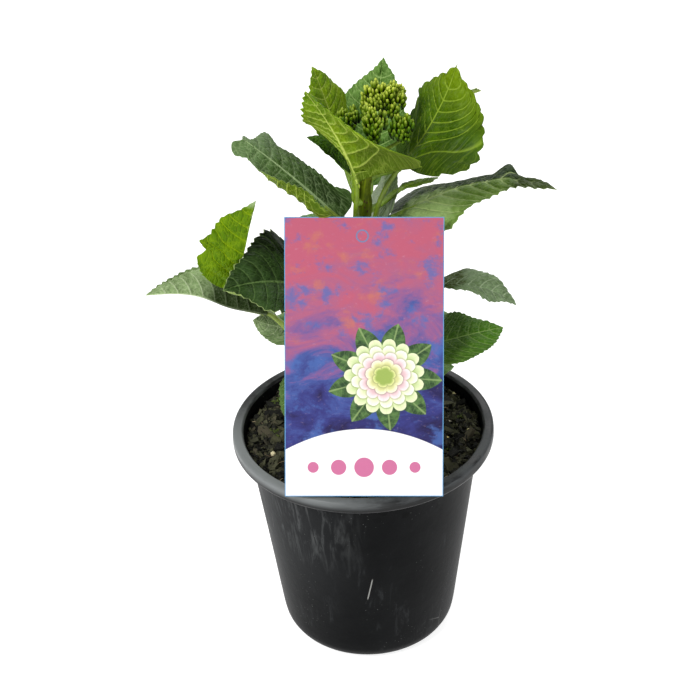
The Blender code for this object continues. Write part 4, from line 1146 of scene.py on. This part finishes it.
def pot_skin(name, specular, rim):
    """Black moulded plastic: dusty streaks with painted sheen on the left front, fine grit, dried drops and a scratch
    or two; on the rim, wear with painted sheen and a painted highlight.
    """
    s = Shader(name, roughness=0.40, specular=specular)
    M = s.math
    pos = s.object_coord()
    sep = s.tree.nodes.new("ShaderNodeSeparateXYZ")
    s.put(sep.inputs[0], pos)
    x, y, z = sep.outputs
    geo = s.scaled(pos, (1000, 1000, 1000))
    cloud = s.noise(geo, 0.022, 4.0, 0.6)
    speck = s.noise(geo, 0.75, 3.0, 0.65)
    col = s.mix(s.smooth(cloud, 0.3, 0.7), lin((9, 10, 11)), lin((17, 18, 19)))
    if rim:
        # partly real wear and partly painted sheen: a paler, rougher band in patches along the lip top
        worn_and_painted_sheen = M("MULTIPLY", s.smooth(s.noise(s.scaled(geo, (0.05, 0.05, 0.3)), 1.0, 4.0, 0.6), 0.40, 0.62), 0.45)
        lip = s.smooth(z, 0.1575, 0.1640)
        col = s.mix(M("MULTIPLY", worn_and_painted_sheen, lip), col, lin((92, 96, 98)))
        # painted highlight: the lip is much paler on its left front, where the key light falls
        painted_highlight_front_left = M("MULTIPLY", s.smooth(x, 0.03, -0.05), s.smooth(y, 0.05, -0.03))
        col = s.mix(M("MULTIPLY", M("MULTIPLY", painted_highlight_front_left, lip), 0.75), col, lin((134, 138, 138)))
        s.colour(col)
        s.rough(M("ADD", 0.34, M("MULTIPLY", worn_and_painted_sheen, 0.5)))
        s.bump(M("ADD", M("MULTIPLY", speck, 0.15), M("MULTIPLY", s.noise(geo, 0.12, 2.0), 1.0)), 0.10)
        return s.mat
    # dust wiped in streaks, partly painted sheen: it lies only on the left front shoulder, where the key light falls
    wipe = s.noise(s.scaled(geo, (0.20, 0.20, 0.026)), 1.0, 5.0, 0.66, 0.8)
    left = M("MULTIPLY", s.smooth(x, 0.005, -0.050), s.smooth(y, 0.02, -0.03))
    band = M("MULTIPLY", s.smooth(z, 0.080, 0.120), s.smooth(z, 0.158, 0.146))
    dust_and_sheen = M("MULTIPLY", s.smooth(wipe, 0.44, 0.70), M("MULTIPLY", left, band))
    thin = M("MULTIPLY", s.smooth(wipe, 0.52, 0.74), M("MULTIPLY", s.smooth(cloud, 0.46, 0.64), 0.30))
    col = s.mix(M("MULTIPLY", dust_and_sheen, 0.62), col, lin((100, 102, 102)))
    col = s.mix(thin, col, lin((78, 80, 82)))
    # painted sheen: the whole left front side a little paler, as lit
    painted_left_sheen = M("MULTIPLY", left, s.smooth(z, 0.02, 0.10))
    col = s.mix(M("MULTIPLY", painted_left_sheen, 0.22), col, lin((62, 64, 66)))
    # pale specks, as of splashed grit
    dots = s.cells(s.scaled(geo, (0.34, 0.34, 0.34)), 1.0, "F1")
    few = s.smooth(s.noise(geo, 0.030, 2.0), 0.50, 0.66)
    col = s.mix(M("MULTIPLY", M("MULTIPLY", s.smooth(dots, 0.13, 0.06), few), 0.6), col, lin((112, 114, 112)))
    # dried drops below the rim
    drops = s.cells(s.scaled(s.wobble(geo, 0.2, 2.0), (0.075, 0.075, 0.075)), 1.0, "F1")
    wet = M("MULTIPLY", s.smooth(drops, 0.24, 0.19), s.smooth(z, 0.118, 0.140))
    wet = M("MULTIPLY", wet, s.smooth(x, -0.005, 0.02))
    col = s.mix(M("MULTIPLY", wet, 0.85), col, lin((4, 5, 5)))
    # one pale scratch on the front, and hairlines
    slant = M("ABSOLUTE", M("SUBTRACT", x, M("MULTIPLY", M("SUBTRACT", z, 0.074), 0.19)))
    mark = M("MULTIPLY", s.smooth(slant, 0.00055, 0.00025), M("MULTIPLY", s.smooth(z, 0.064, 0.067), s.smooth(z, 0.086, 0.083)))
    mark = M("MULTIPLY", mark, s.smooth(y, 0.0, -0.02))
    hair = s.cells(s.scaled(s.wobble(geo, 0.03, 9.0), (0.030, 0.030, 0.010)), 1.0)
    hair = M("MULTIPLY", s.smooth(hair, 0.006, 0.002), s.smooth(s.noise(geo, 0.024, 2.0), 0.60, 0.66))
    col = s.mix(M("MAXIMUM", M("MULTIPLY", mark, 0.9), M("MULTIPLY", hair, 0.3)), col, lin((150, 150, 146)))
    s.colour(col)
    s.rough(M("ADD", 0.40, M("MULTIPLY", M("ADD", dust_and_sheen, thin), 0.30)))
    h = M("ADD", M("MULTIPLY", speck, 0.35), M("MULTIPLY", s.noise(geo, 0.12, 2.0), 1.2))
    s.bump(M("SUBTRACT", h, M("MULTIPLY", mark, 1.0)), 0.14)
    return s.mat


def cut_drains(ob):
    """Drain holes through the floor, as in the frame."""
    for k in range(6):
        a = 2 * pi * (k + 0.5) / 6
        bpy.ops.mesh.primitive_cylinder_add(vertices=40, radius=4.5 * MM, depth=12 * MM,
                                            location=(38 * cos(a) * MM, 38 * sin(a) * MM, 0.5 * MM))
        tool = bpy.context.object
        mod = ob.modifiers.new("drain", "BOOLEAN")
        mod.object = tool
        mod.operation = "DIFFERENCE"
        with bpy.context.temp_override(object=ob, active_object=ob, selected_objects=[ob]):
            bpy.ops.object.modifier_apply(modifier=mod.name)
        bpy.data.objects.remove(tool, do_unlink=True)


# ---- potting mix --------------------------------------------------------
def soil_height(x, y):
    """Uneven top of the mix."""
    h = 156.9 + 0.9 * np.sin(x / 11.0 + 0.7) * np.cos(y / 13.0) + 0.7 * np.sin(x / 5.3 + y / 7.1)
    h = h + 0.5 * np.sin(y / 3.7 - x / 9.0)
    r = np.hypot(x, y)
    return h + 1.2 * np.exp(-(r / 26) ** 2) - 1.5 * ease(r, 64, 81)


def chip(rng, size, flat_k, long_k):
    """A broken bit of bark: a rough box with its corners pushed about."""
    c = np.array([[sx, sy, sz] for sz in (-1, 1) for sx, sy in ((-1, -1), (1, -1), (1, 1), (-1, 1))], float)
    c = c * (1 + rng.normal(0, 0.22, c.shape))
    c = c * np.array([long_k, 1.0, flat_k]) * size / 2
    faces = [(3, 2, 1, 0), (4, 5, 6, 7), (0, 1, 5, 4), (1, 2, 6, 5), (2, 3, 7, 6), (3, 0, 4, 7)]
    return c, faces


def turned_by(rng, tip=0.5):
    a, b, c = rng.uniform(0, 2 * pi), rng.normal(0, tip), rng.normal(0, tip)
    ra = np.array([[cos(a), -sin(a), 0], [sin(a), cos(a), 0], [0, 0, 1]])
    rb = np.array([[1, 0, 0], [0, cos(b), -sin(b)], [0, sin(b), cos(b)]])
    rc = np.array([[cos(c), 0, sin(c)], [0, 1, 0], [-sin(c), 0, cos(c)]])
    return ra @ rb @ rc


def ball(rng, radius, rough=0.12, rings=6, sides=9):
    v = []
    for i in range(1, rings):
        a = pi * i / rings
        for j in range(sides):
            b = 2 * pi * j / sides
            r = radius * (1 + rng.normal(0, rough))
            v.append((r * sin(a) * cos(b), r * sin(a) * sin(b), r * cos(a)))
    n = len(v)
    v += [(0, 0, radius), (0, 0, -radius)]
    faces = grid_faces(rings - 1, sides, wrap=True)
    faces += [(n, j, (j + 1) % sides) for j in range(sides)]
    faces += [(n + 1, n - sides + (j + 1) % sides, n - sides + j) for j in range(sides)]
    return np.array(v), faces


def soil_piece():
    rng = np.random.default_rng(21)
    top = Pile()
    rings, segs = 60, 160
    rr = np.linspace(0.5, 81.2, rings)
    ang = np.linspace(0, 2 * pi, segs, endpoint=False)
    R, A = np.meshgrid(rr, ang, indexing="ij")
    X, Y = R * np.cos(A), R * np.sin(A)
    lump = sum(rng.uniform(0.10, 0.26) * np.sin(X * fx + Y * fy + ph)
               for fx, fy, ph in rng.uniform(-1.3, 1.3, (14, 3)))
    Z = soil_height(X, Y) + lump - 0.8
    verts = np.stack([X, Y, Z], -1).reshape(-1, 3)
    faces = grid_faces(rings, segs, wrap=True)
    verts = np.vstack([verts, [[0, 0, 157.3]]])
    faces += [(k, (k + 1) % segs, len(verts) - 1) for k in range(segs)]
    # the side and underside of the root ball, hidden in the pot
    prof = [(80.9, 152.4), (79.0, 150.0), (76.2, 146.6), (60.3, 17.6), (56.2, 6.2), (48.9, 2.3)]
    low = np.vstack([np.stack([r * np.cos(ang), r * np.sin(ang), 0 * ang + z], -1) for r, z in prof])
    first = len(verts)
    verts = np.vstack([verts, low, [[0, 0, 2.3]]])
    ring0 = (rings - 1) * segs
    for k in range(segs):
        m = (k + 1) % segs
        faces.append((ring0 + m, ring0 + k, first + k, first + m))
        for j in range(len(prof) - 1):
            a, b = first + j * segs, first + (j + 1) * segs
            faces.append((a + m, a + k, b + k, b + m))
        faces.append((first + (len(prof) - 1) * segs + m, first + (len(prof) - 1) * segs + k, len(verts) - 1))
    top.add(verts, faces, 0)
    s = Shader("potting_mix_skin", roughness=0.86, specular=0.25)
    geo = s.scaled(s.object_coord(), (1000, 1000, 1000))
    n1, n2 = s.noise(geo, 0.25, 5.0, 0.65), s.noise(geo, 1.3, 3.0, 0.6)
    col = s.mix(s.smooth(n1, 0.35, 0.7), lin((14, 13, 10)), lin((38, 35, 28)))
    col = s.mix(s.math("MULTIPLY", s.smooth(n2, 0.60, 0.78), 0.5), col, lin((78, 74, 60)))
    s.colour(col)
    s.bump(s.math("ADD", n1, s.math("MULTIPLY", n2, 0.5)), 0.9)
    top.build("look_potting_mix", [s.mat], ["potting_mix"])

    bits = Pile()

    def spot(lo=0.0, hi=80.0):
        r, a = sqrt(rng.uniform(lo * lo, hi * hi)), rng.uniform(0, 2 * pi)
        return r * cos(a), r * sin(a)

    def drop(v, f, x, y, sink, **kw):
        z = soil_height(x, y) + sink
        bits.add(v + np.array([x, y, z]), f, 0, **kw)

    for k in range(4200):                                  # crumbs and bark
        x, y = spot()
        size = float(np.clip(rng.lognormal(0.72, 0.46), 0.9, 6.0))
        if size > 3.4 and hypot2(x, y) > 76:
            continue
        v, f = chip(rng, size, rng.uniform(0.35, 0.85), rng.uniform(1.0, 2.1))
        drop(v @ turned_by(rng, 0.8).T, f, x, y, rng.uniform(-0.5, 1.5), kind=rng.uniform(0.0, 0.62), tint=rng.uniform(0, 1))
    for k in range(46):                                    # pale bits of wood and grit
        x, y = spot(24)
        v, f = chip(rng, rng.uniform(0.9, 2.1), rng.uniform(0.3, 0.6), rng.uniform(1.2, 2.8))
        drop(v @ turned_by(rng).T, f, x, y, 1.1, kind=0.72, tint=rng.uniform(0, 1))
    for k in range(14):                                    # reddish bark
        x, y = spot(16)
        v, f = chip(rng, rng.uniform(2.0, 4.6), rng.uniform(0.25, 0.5), rng.uniform(1.1, 1.9))
        drop(v @ turned_by(rng).T, f, x, y, 0.9, kind=0.82, tint=rng.uniform(0, 1))
    places = [(-68, 3), (-62, -22), (-48, -30), (57, -14), (51, -37), (43, -44), (30, 52), (-24, 58), (-52, 36)]
    places += [spot(30) for k in range(9)]
    for x, y in places:                                    # feed prills
        v, f = ball(rng, rng.uniform(1.45, 1.9), 0.03)
        drop(v, f, x, y, 1.5, kind=0.92, tint=rng.uniform(0, 1))
    for x, y in [(-56, -2), (55, -26), (-30, -52), (20, 60), (-60, 28)] + [spot(26) for k in range(16)]:    # moss
        for m in range(26):
            dx, dy = rng.normal(0, 2.3, 2)
            v, f = ball(rng, rng.uniform(0.5, 1.1), 0.2, 4, 6)
            if hypot2(x + dx, y + dy) < 80:
                drop(v, f, x + dx, y + dy, 0.9 + 0.9 * np.exp(-(dx * dx + dy * dy) / 8), kind=1.0, tint=rng.uniform(0, 1))
    s = Shader("mix_bits", roughness=0.8, specular=0.3)
    kind, tint = s.attr("kind"), s.attr("tint")
    geo = s.scaled(s.object_coord(), (1000, 1000, 1000))
    grain = s.noise(geo, 1.1, 4.0, 0.65)
    bark = s.mix(s.smooth(tint, 0.2, 1.0), lin((12, 13, 8)), lin((78, 78, 56)))
    bark = s.mix(s.smooth(kind, 0.56, 0.62), bark, lin((84, 78, 62)))
    pale = s.mix(tint, lin((176, 160, 132)), lin((214, 206, 190)))
    red = s.mix(tint, lin((70, 46, 30)), lin((98, 66, 42)))
    prill = s.mix(tint, lin((206, 190, 120)), lin((226, 216, 176)))
    moss = s.mix(tint, lin((44, 60, 20)), lin((88, 100, 40)))
    col = s.mix(s.smooth(kind, 0.66, 0.68), bark, pale)
    col = s.mix(s.smooth(kind, 0.76, 0.78), col, red)
    col = s.mix(s.smooth(kind, 0.86, 0.88), col, prill)
    col = s.mix(s.smooth(kind, 0.95, 0.97), col, moss)
    col = s.mix(s.math("MULTIPLY", s.smooth(grain, 0.5, 0.8), 0.22), col, lin((104, 100, 82)))
    s.colour(col)
    s.bump(grain, 0.35)
    bits.build("look_mix_bits", [s.mat], [], smooth=False)

    fibres = Pile()
    for k in range(60):
        x, y = spot(14, 75)
        a, length, bend = rng.uniform(0, 2 * pi), rng.uniform(6, 19), rng.normal(0, 0.09)
        t = np.linspace(0, 1, 12)
        th = a + bend * length * t
        px = x + np.cumsum(np.cos(th)) * length / 12
        py = y + np.cumsum(np.sin(th)) * length / 12
        keep = np.hypot(px, py) < 79.5
        if keep.sum() < 4:
            continue
        px, py = px[keep], py[keep]
        pz = soil_height(px, py) + 1.2 + 0.9 * np.sin(np.linspace(0, pi, len(px)))
        path = np.stack([px, py, pz], -1)
        verts, faces, ang_, run = tube(path, np.full(len(px), rng.uniform(0.13, 0.30)), 6, side0=(0, 0, 1))
        fibres.add(verts, faces, 0, tint=rng.uniform(0, 1))
    s = Shader("root_fibres", roughness=0.8, specular=0.3)
    col = s.mix(s.attr("tint"), lin((70, 52, 36)), lin((178, 160, 128)))
    s.colour(s.mix(s.math("MULTIPLY", s.noise(s.scaled(s.object_coord(), (900, 900, 900)), 1.0), 0.5), col, lin((60, 44, 30))))
    fibres.build("look_fibres", [s.mat], [])


def hypot2(x, y):
    return sqrt(x * x + y * y)


# ---- label --------------------------------------------------------------
LABEL_W, LABEL_H, LABEL_T = 102.7, 180.8, 0.6
LABEL_FOOT, LABEL_LEAN, LABEL_TURN = (-1.6, -84.4, 166.9), 28.5, 2.36


def on_card(pts):
    """Card places (across, height, how far behind the face) to the frame, in mm."""
    m = np.array(Matrix.Translation(Vector(LABEL_FOOT))
                 @ Matrix.Rotation(radians(-LABEL_LEAN), 4, "X")
                 @ Matrix.Rotation(radians(LABEL_TURN), 4, "Y"))
    pts = np.asarray(pts, float)
    loc = np.stack([pts[:, 0], -LABEL_T / 2 + pts[:, 2], pts[:, 1], np.ones(len(pts))], -1)
    return (loc @ m.T)[:, :3]


def label_piece():
    """A stiff printed card with softened edges, as one closed mesh."""
    pile = Pile()
    w, h, t, b = LABEL_W / 2, LABEL_H, LABEL_T, 0.12
    nx, ny = 24, 40
    xs, ys = np.linspace(-w + b, w - b, nx), np.linspace(b, h - b, ny)
    gx, gy = (g.ravel() for g in np.meshgrid(xs, ys))
    loop = ([j for j in range(nx)] + [i * nx + nx - 1 for i in range(1, ny)]
            + [(ny - 1) * nx + j for j in range(nx - 2, -1, -1)] + [i * nx for i in range(ny - 2, 0, -1)])
    bow = 0.0 * gx
    face = np.stack([gx, gy, bow], -1)
    rear = np.stack([gx, gy, bow + t], -1)
    lx, ly = gx[loop], gy[loop]
    ox = np.where(np.isclose(np.abs(lx), w - b), np.sign(lx) * w, lx)
    oy = np.where(np.isclose(ly, b), 0.0, np.where(np.isclose(ly, h - b), h, ly))
    n = len(loop)
    r1 = np.stack([ox, oy, np.full(n, b)], -1)
    r2 = np.stack([ox, oy, np.full(n, t - b)], -1)
    verts = np.vstack([face, rear, r1, r2])
    a0, a1, a2, a3 = 0, len(face), 2 * len(face), 2 * len(face) + n
    quads = [tuple(q) for q in grid_faces(ny, nx)]
    # rows go up the card and columns to the right, so a quad's own order faces the back
    faces = [q[::-1] for q in quads]
    mats = [0] * len(faces)
    faces += [tuple(k + a1 for k in q) for q in quads]
    mats += [1] * len(quads)
    for k in range(n):
        m = (k + 1) % n
        faces += [(a0 + loop[k], a2 + k, a2 + m, a0 + loop[m])[::-1][::-1],
                  (a2 + k, a3 + k, a3 + m, a2 + m),
                  (a3 + k, a1 + loop[k], a1 + loop[m], a3 + m)]
        mats += [0, 1, 1]
    pile.add(on_card(verts), faces, 0, card=np.stack([verts[:, 0], verts[:, 1], 0 * verts[:, 0]], -1))
    pile.m = mats
    back = Shader("card_back", roughness=0.45, specular=0.4)
    c = back.attr("card", True)
    k = back.noise(back.scaled(c, (0.6, 0.6, 1)), 1.0, 4.0, 0.6)
    back.colour(back.mix(k, lin((224, 226, 228)), lin((240, 240, 238))))
    back.bump(k, 0.02)
    ob = pile.build("look_plant_label", [label_face(), back.mat], ["plant_label"], smooth=False)
    layer = ob.data.uv_layers.new(name="OFBake")
    loops = np.zeros(len(ob.data.loops), np.int32)
    ob.data.loops.foreach_get("vertex_index", loops)
    u = (verts[:, 0] / LABEL_W + 0.5) * 0.49 + 0.005
    v = verts[:, 1] / LABEL_H * 0.98 + 0.01
    poly_mat = np.array(mats)
    starts, totals = np.zeros(len(mats), np.int32), np.zeros(len(mats), np.int32)
    ob.data.polygons.foreach_get("loop_start", starts)
    ob.data.polygons.foreach_get("loop_total", totals)
    shift = np.zeros(len(loops))
    for s0, cnt, m in zip(starts, totals, poly_mat):
        shift[s0:s0 + cnt] = 0.5 * m
    uv = np.stack([u[loops] + shift, v[loops]], -1)
    layer.data.foreach_set("uv", uv.astype(np.float32).ravel())


POSY = (13.0, 78.0)          # middle of the printed posy on the card, mm


def label_face():
    """Printed front: a colour wash, a pale foot, a bare band and a posy of plain florets."""
    s = Shader("card_face", roughness=0.30, specular=0.45)
    M = s.math
    card = s.attr("card", True)

    def parts(vec):
        n = s.tree.nodes.new("ShaderNodeSeparateXYZ")
        s.put(n.inputs[0], vec)
        return n.outputs[0], n.outputs[1]

    def both(*masks):
        out = masks[0]
        for m in masks[1:]:
            out = M("MULTIPLY", out, m)
        return out

    x, y = parts(card)
    wx, wy = parts(s.wobble(card, 0.030, 34.0))
    # a mottled wash, rose above and indigo below
    d = M("ADD", M("MULTIPLY", wx, 0.0016), M("MULTIPLY", M("SUBTRACT", 172.0, wy), 0.0068))
    brush = s.noise(s.scaled(card, (0.024, 0.046, 1.0)), 1.0, 7.0, 0.66, 0.9)
    d = M("ADD", d, M("MULTIPLY", M("SUBTRACT", brush, 0.5), 1.35))
    col = s.ramp(d, [(0.0, lin((178, 84, 108))), (0.20, lin((164, 88, 120))), (0.36, lin((130, 84, 136))),
                     (0.50, lin((62, 80, 146))), (0.68, lin((46, 48, 116))), (0.92, lin((26, 16, 66)))])
    warm = s.smooth(s.noise(s.scaled(card, (0.050, 0.060, 1.0)), 1.0, 4.0, 0.6), 0.54, 0.70)
    col = s.mix(both(warm, s.smooth(d, 0.46, 0.20), 0.8), col, lin((184, 106, 92)))
    cool = s.smooth(s.noise(s.scaled(card, (0.055, 0.065, 1.0), (9, 4, 0)), 1.0, 5.0, 0.66), 0.52, 0.66)
    col = s.mix(both(cool, 0.75), col, lin((66, 98, 164)))
    fleck = s.smooth(s.noise(s.scaled(card, (0.26, 0.42, 1)), 1.0, 6.0, 0.74), 0.56, 0.78)
    col = s.mix(both(fleck, 0.34), col, lin((190, 166, 190)))
    # the pale foot, with a plain curved edge
    edge = M("ADD", M("MULTIPLY", M("MULTIPLY", x, x), -0.0052), 44.0)
    foot = s.smooth(M("SUBTRACT", edge, y), -0.25, 0.25)
    col = s.mix(foot, col, lin((246, 246, 245)))
    # a row of bare rose discs on it, largest in the middle
    step = 16.5
    cellx = M("SUBTRACT", M("FRACT", M("ADD", M("DIVIDE", x, step), 0.5)), 0.5)
    which = M("ABSOLUTE", M("SUBTRACT", x, M("MULTIPLY", cellx, step)))
    dx, dy = M("MULTIPLY", cellx, step), M("SUBTRACT", y, 19.0)
    disc = M("SQRT", M("ADD", M("MULTIPLY", dx, dx), M("MULTIPLY", dy, dy)))
    size = M("SUBTRACT", 6.4, M("MULTIPLY", which, 0.085))
    col = s.mix(both(s.smooth(M("SUBTRACT", size, disc), -0.15, 0.15), s.smooth(which, 41.0, 39.0)), col, lin((196, 108, 148)))
    # leaves round the posy: nine pointed lobes with a pale midline
    px, py = M("SUBTRACT", x, POSY[0]), M("DIVIDE", M("SUBTRACT", y, POSY[1]), 0.94)
    rr = M("SQRT", M("ADD", M("MULTIPLY", px, px), M("MULTIPLY", py, py)))
    th = M("ARCTAN2", py, px)
    turn = M("FRACT", M("ADD", M("MULTIPLY", th, 9 / (2 * pi)), 4.6))
    mid = M("ABSOLUTE", M("SUBTRACT", turn, 0.5))
    lobe = M("POWER", M("SUBTRACT", 1.0, M("MULTIPLY", mid, 2.0)), 0.62)
    reach = M("ADD", 21.0, M("MULTIPLY", lobe, 16.5))
    leafy = s.smooth(M("SUBTRACT", reach, rr), -0.2, 0.2)
    leaf_tone = s.mix(s.smooth(s.noise(s.scaled(card, (0.2, 0.2, 1)), 1.0, 3.0), 0.35, 0.65), lin((38, 66, 34)), lin((84, 118, 62)))
    leaf_tone = s.mix(both(s.smooth(mid, 0.035, 0.012), 0.7), leaf_tone, lin((140, 164, 104)))
    vein = M("ABSOLUTE", M("SUBTRACT", M("FRACT", M("SUBTRACT", M("MULTIPLY", rr, 0.30), M("MULTIPLY", mid, 3.0))), 0.5))
    leaf_tone = s.mix(both(s.smooth(vein, 0.07, 0.0), 0.35), leaf_tone, lin((130, 154, 100)))
    col = s.mix(leafy, col, leaf_tone)
    # a plain rosette of broad petals in five layers, cream and green-white to blush
    for n, big, shift, low, high in ((15, 26.0, 0.1, (176, 196, 126), (226, 234, 190)), (13, 21.5, 0.6, (206, 214, 160), (244, 244, 224)),
                                     (11, 17.0, 0.3, (214, 178, 182), (246, 226, 226)), (8, 12.2, 0.8, (206, 206, 140), (246, 244, 212)),
                                     (6, 7.4, 0.2, (150, 172, 84), (220, 224, 150))):
        turn = M("FRACT", M("ADD", M("MULTIPLY", th, n / (2 * pi)), 4.0 + shift))
        off = M("ABSOLUTE", M("SUBTRACT", turn, 0.5))
        edge = M("SUBTRACT", big, M("MULTIPLY", M("POWER", M("MULTIPLY", off, 2.0), 2.6), 0.17 * big))
        rub = M("MULTIPLY", M("SUBTRACT", s.noise(s.scaled(card, (0.5, 0.5, 1)), 1.0, 3.0), 0.5), 0.8)
        inner = M("SUBTRACT", edge, M("ADD", rr, rub))
        tone = s.mix(s.smooth(inner, 0.30 * big, 0.0), lin(low), lin(high))
        tone = s.mix(both(s.smooth(off, 0.36, 0.50), 0.75), tone, lin(low))
        tone = s.mix(both(s.smooth(off, 0.04, 0.0), 0.25), tone, lin(low))
        halo = both(s.smooth(M("ADD", inner, 1.6), 0.0, 1.8), 0.45)
        col = s.mix(halo, col, lin((72, 88, 58)))
        col = s.mix(s.smooth(inner, -0.15, 0.15), col, tone)
    # a ring near the top, where a hanging hole would be punched
    hx, hy = M("SUBTRACT", x, -1.2), M("SUBTRACT", y, 168.6)
    ring = M("ABSOLUTE", M("SUBTRACT", M("SQRT", M("ADD", M("MULTIPLY", hx, hx), M("MULTIPLY", hy, hy))), 3.7))
    col = s.mix(both(s.smooth(ring, 0.62, 0.38), 0.85), col, lin((88, 124, 164)))
    # thin blue trim line
    trim = M("MAXIMUM", M("SUBTRACT", M("ABSOLUTE", x), LABEL_W / 2), M("SUBTRACT", M("ABSOLUTE", M("SUBTRACT", y, LABEL_H / 2)), LABEL_H / 2))
    col = s.mix(s.smooth(trim, -0.62, -0.48), col, lin((92, 150, 196)))
    s.colour(col)
    s.bump(s.noise(s.scaled(card, (1.6, 1.6, 1)), 1.0, 2.0), 0.03)
    return s.mat


# ---- make everything ----------------------------------------------------
for leaf_name, leaf_spec in LEAVES.items():
    merged = dict(leaf_spec)
    merged.update(LOOKS.get(leaf_name, {}).get("form", {}))
    leaf_piece(leaf_name, merged, LOOKS.get(leaf_name, DEFAULT_LOOK))
stems_piece()
flower_head()
pot_piece()
soil_piece()
label_piece()

# ---- floor, sky and lights ----------------------------------------------
SKY = 0.62
LIGHTS = [
    ("key", (-1.15, -1.35, 1.95), (0, 0, 0.25), (0.9, 0.9), 40.0),
    ("fill", (1.7, -1.2, 0.9), (0, 0, 0.2), (1.4, 1.4), 5.0),
    ("back", (0.5, 1.7, 1.6), (0, 0, 0.25), (1.2, 1.2), 14.0),
]
bpy.ops.mesh.primitive_plane_add(size=14.0, location=(0, 0, 0))
floor = bpy.context.object
floor.name = "floor"
fl = Shader("floor_paper", roughness=0.9, specular=0.1)
fl.colour(lin((190, 190, 190)))
fl.bsdf.inputs["Emission Color"].default_value = (1, 1, 1, 1)
fl.bsdf.inputs["Emission Strength"].default_value = 0.80      # a lit table: no cast shadow to speak of
floor.data.materials.append(fl.mat)

world = bpy.data.worlds.new("studio")
scene.world = world
world.use_nodes = True
wt = world.node_tree
bg = wt.nodes["Background"]
coord = wt.nodes.new("ShaderNodeTexCoord")
sepw = wt.nodes.new("ShaderNodeSeparateXYZ")
wt.links.new(coord.outputs["Generated"], sepw.inputs[0])
rampw = wt.nodes.new("ShaderNodeValToRGB")
rampw.color_ramp.elements[0].position = 0.0
rampw.color_ramp.elements[0].color = (0.92, 0.92, 0.92, 1)
rampw.color_ramp.elements[1].position = 1.0
rampw.color_ramp.elements[1].color = (1.0, 1.0, 1.0, 1)
wt.links.new(sepw.outputs[2], rampw.inputs[0])
wt.links.new(rampw.outputs[0], bg.inputs[0])
bg.inputs[1].default_value = SKY


def area_light(name, place, aim, size, power, colour=(1, 1, 1)):
    data = bpy.data.lights.new(name, "AREA")
    data.shape = "RECTANGLE"
    data.size, data.size_y = size
    data.energy = power
    data.color = colour
    ob = bpy.data.objects.new(name, data)
    ob.location = place
    ob.rotation_euler = (Vector(aim) - Vector(place)).to_track_quat("-Z", "Y").to_euler()
    scene.collection.objects.link(ob)


for args in LIGHTS:
    area_light(*args)
scene.view_settings.view_transform = "Standard"
scene.view_settings.look = "None"
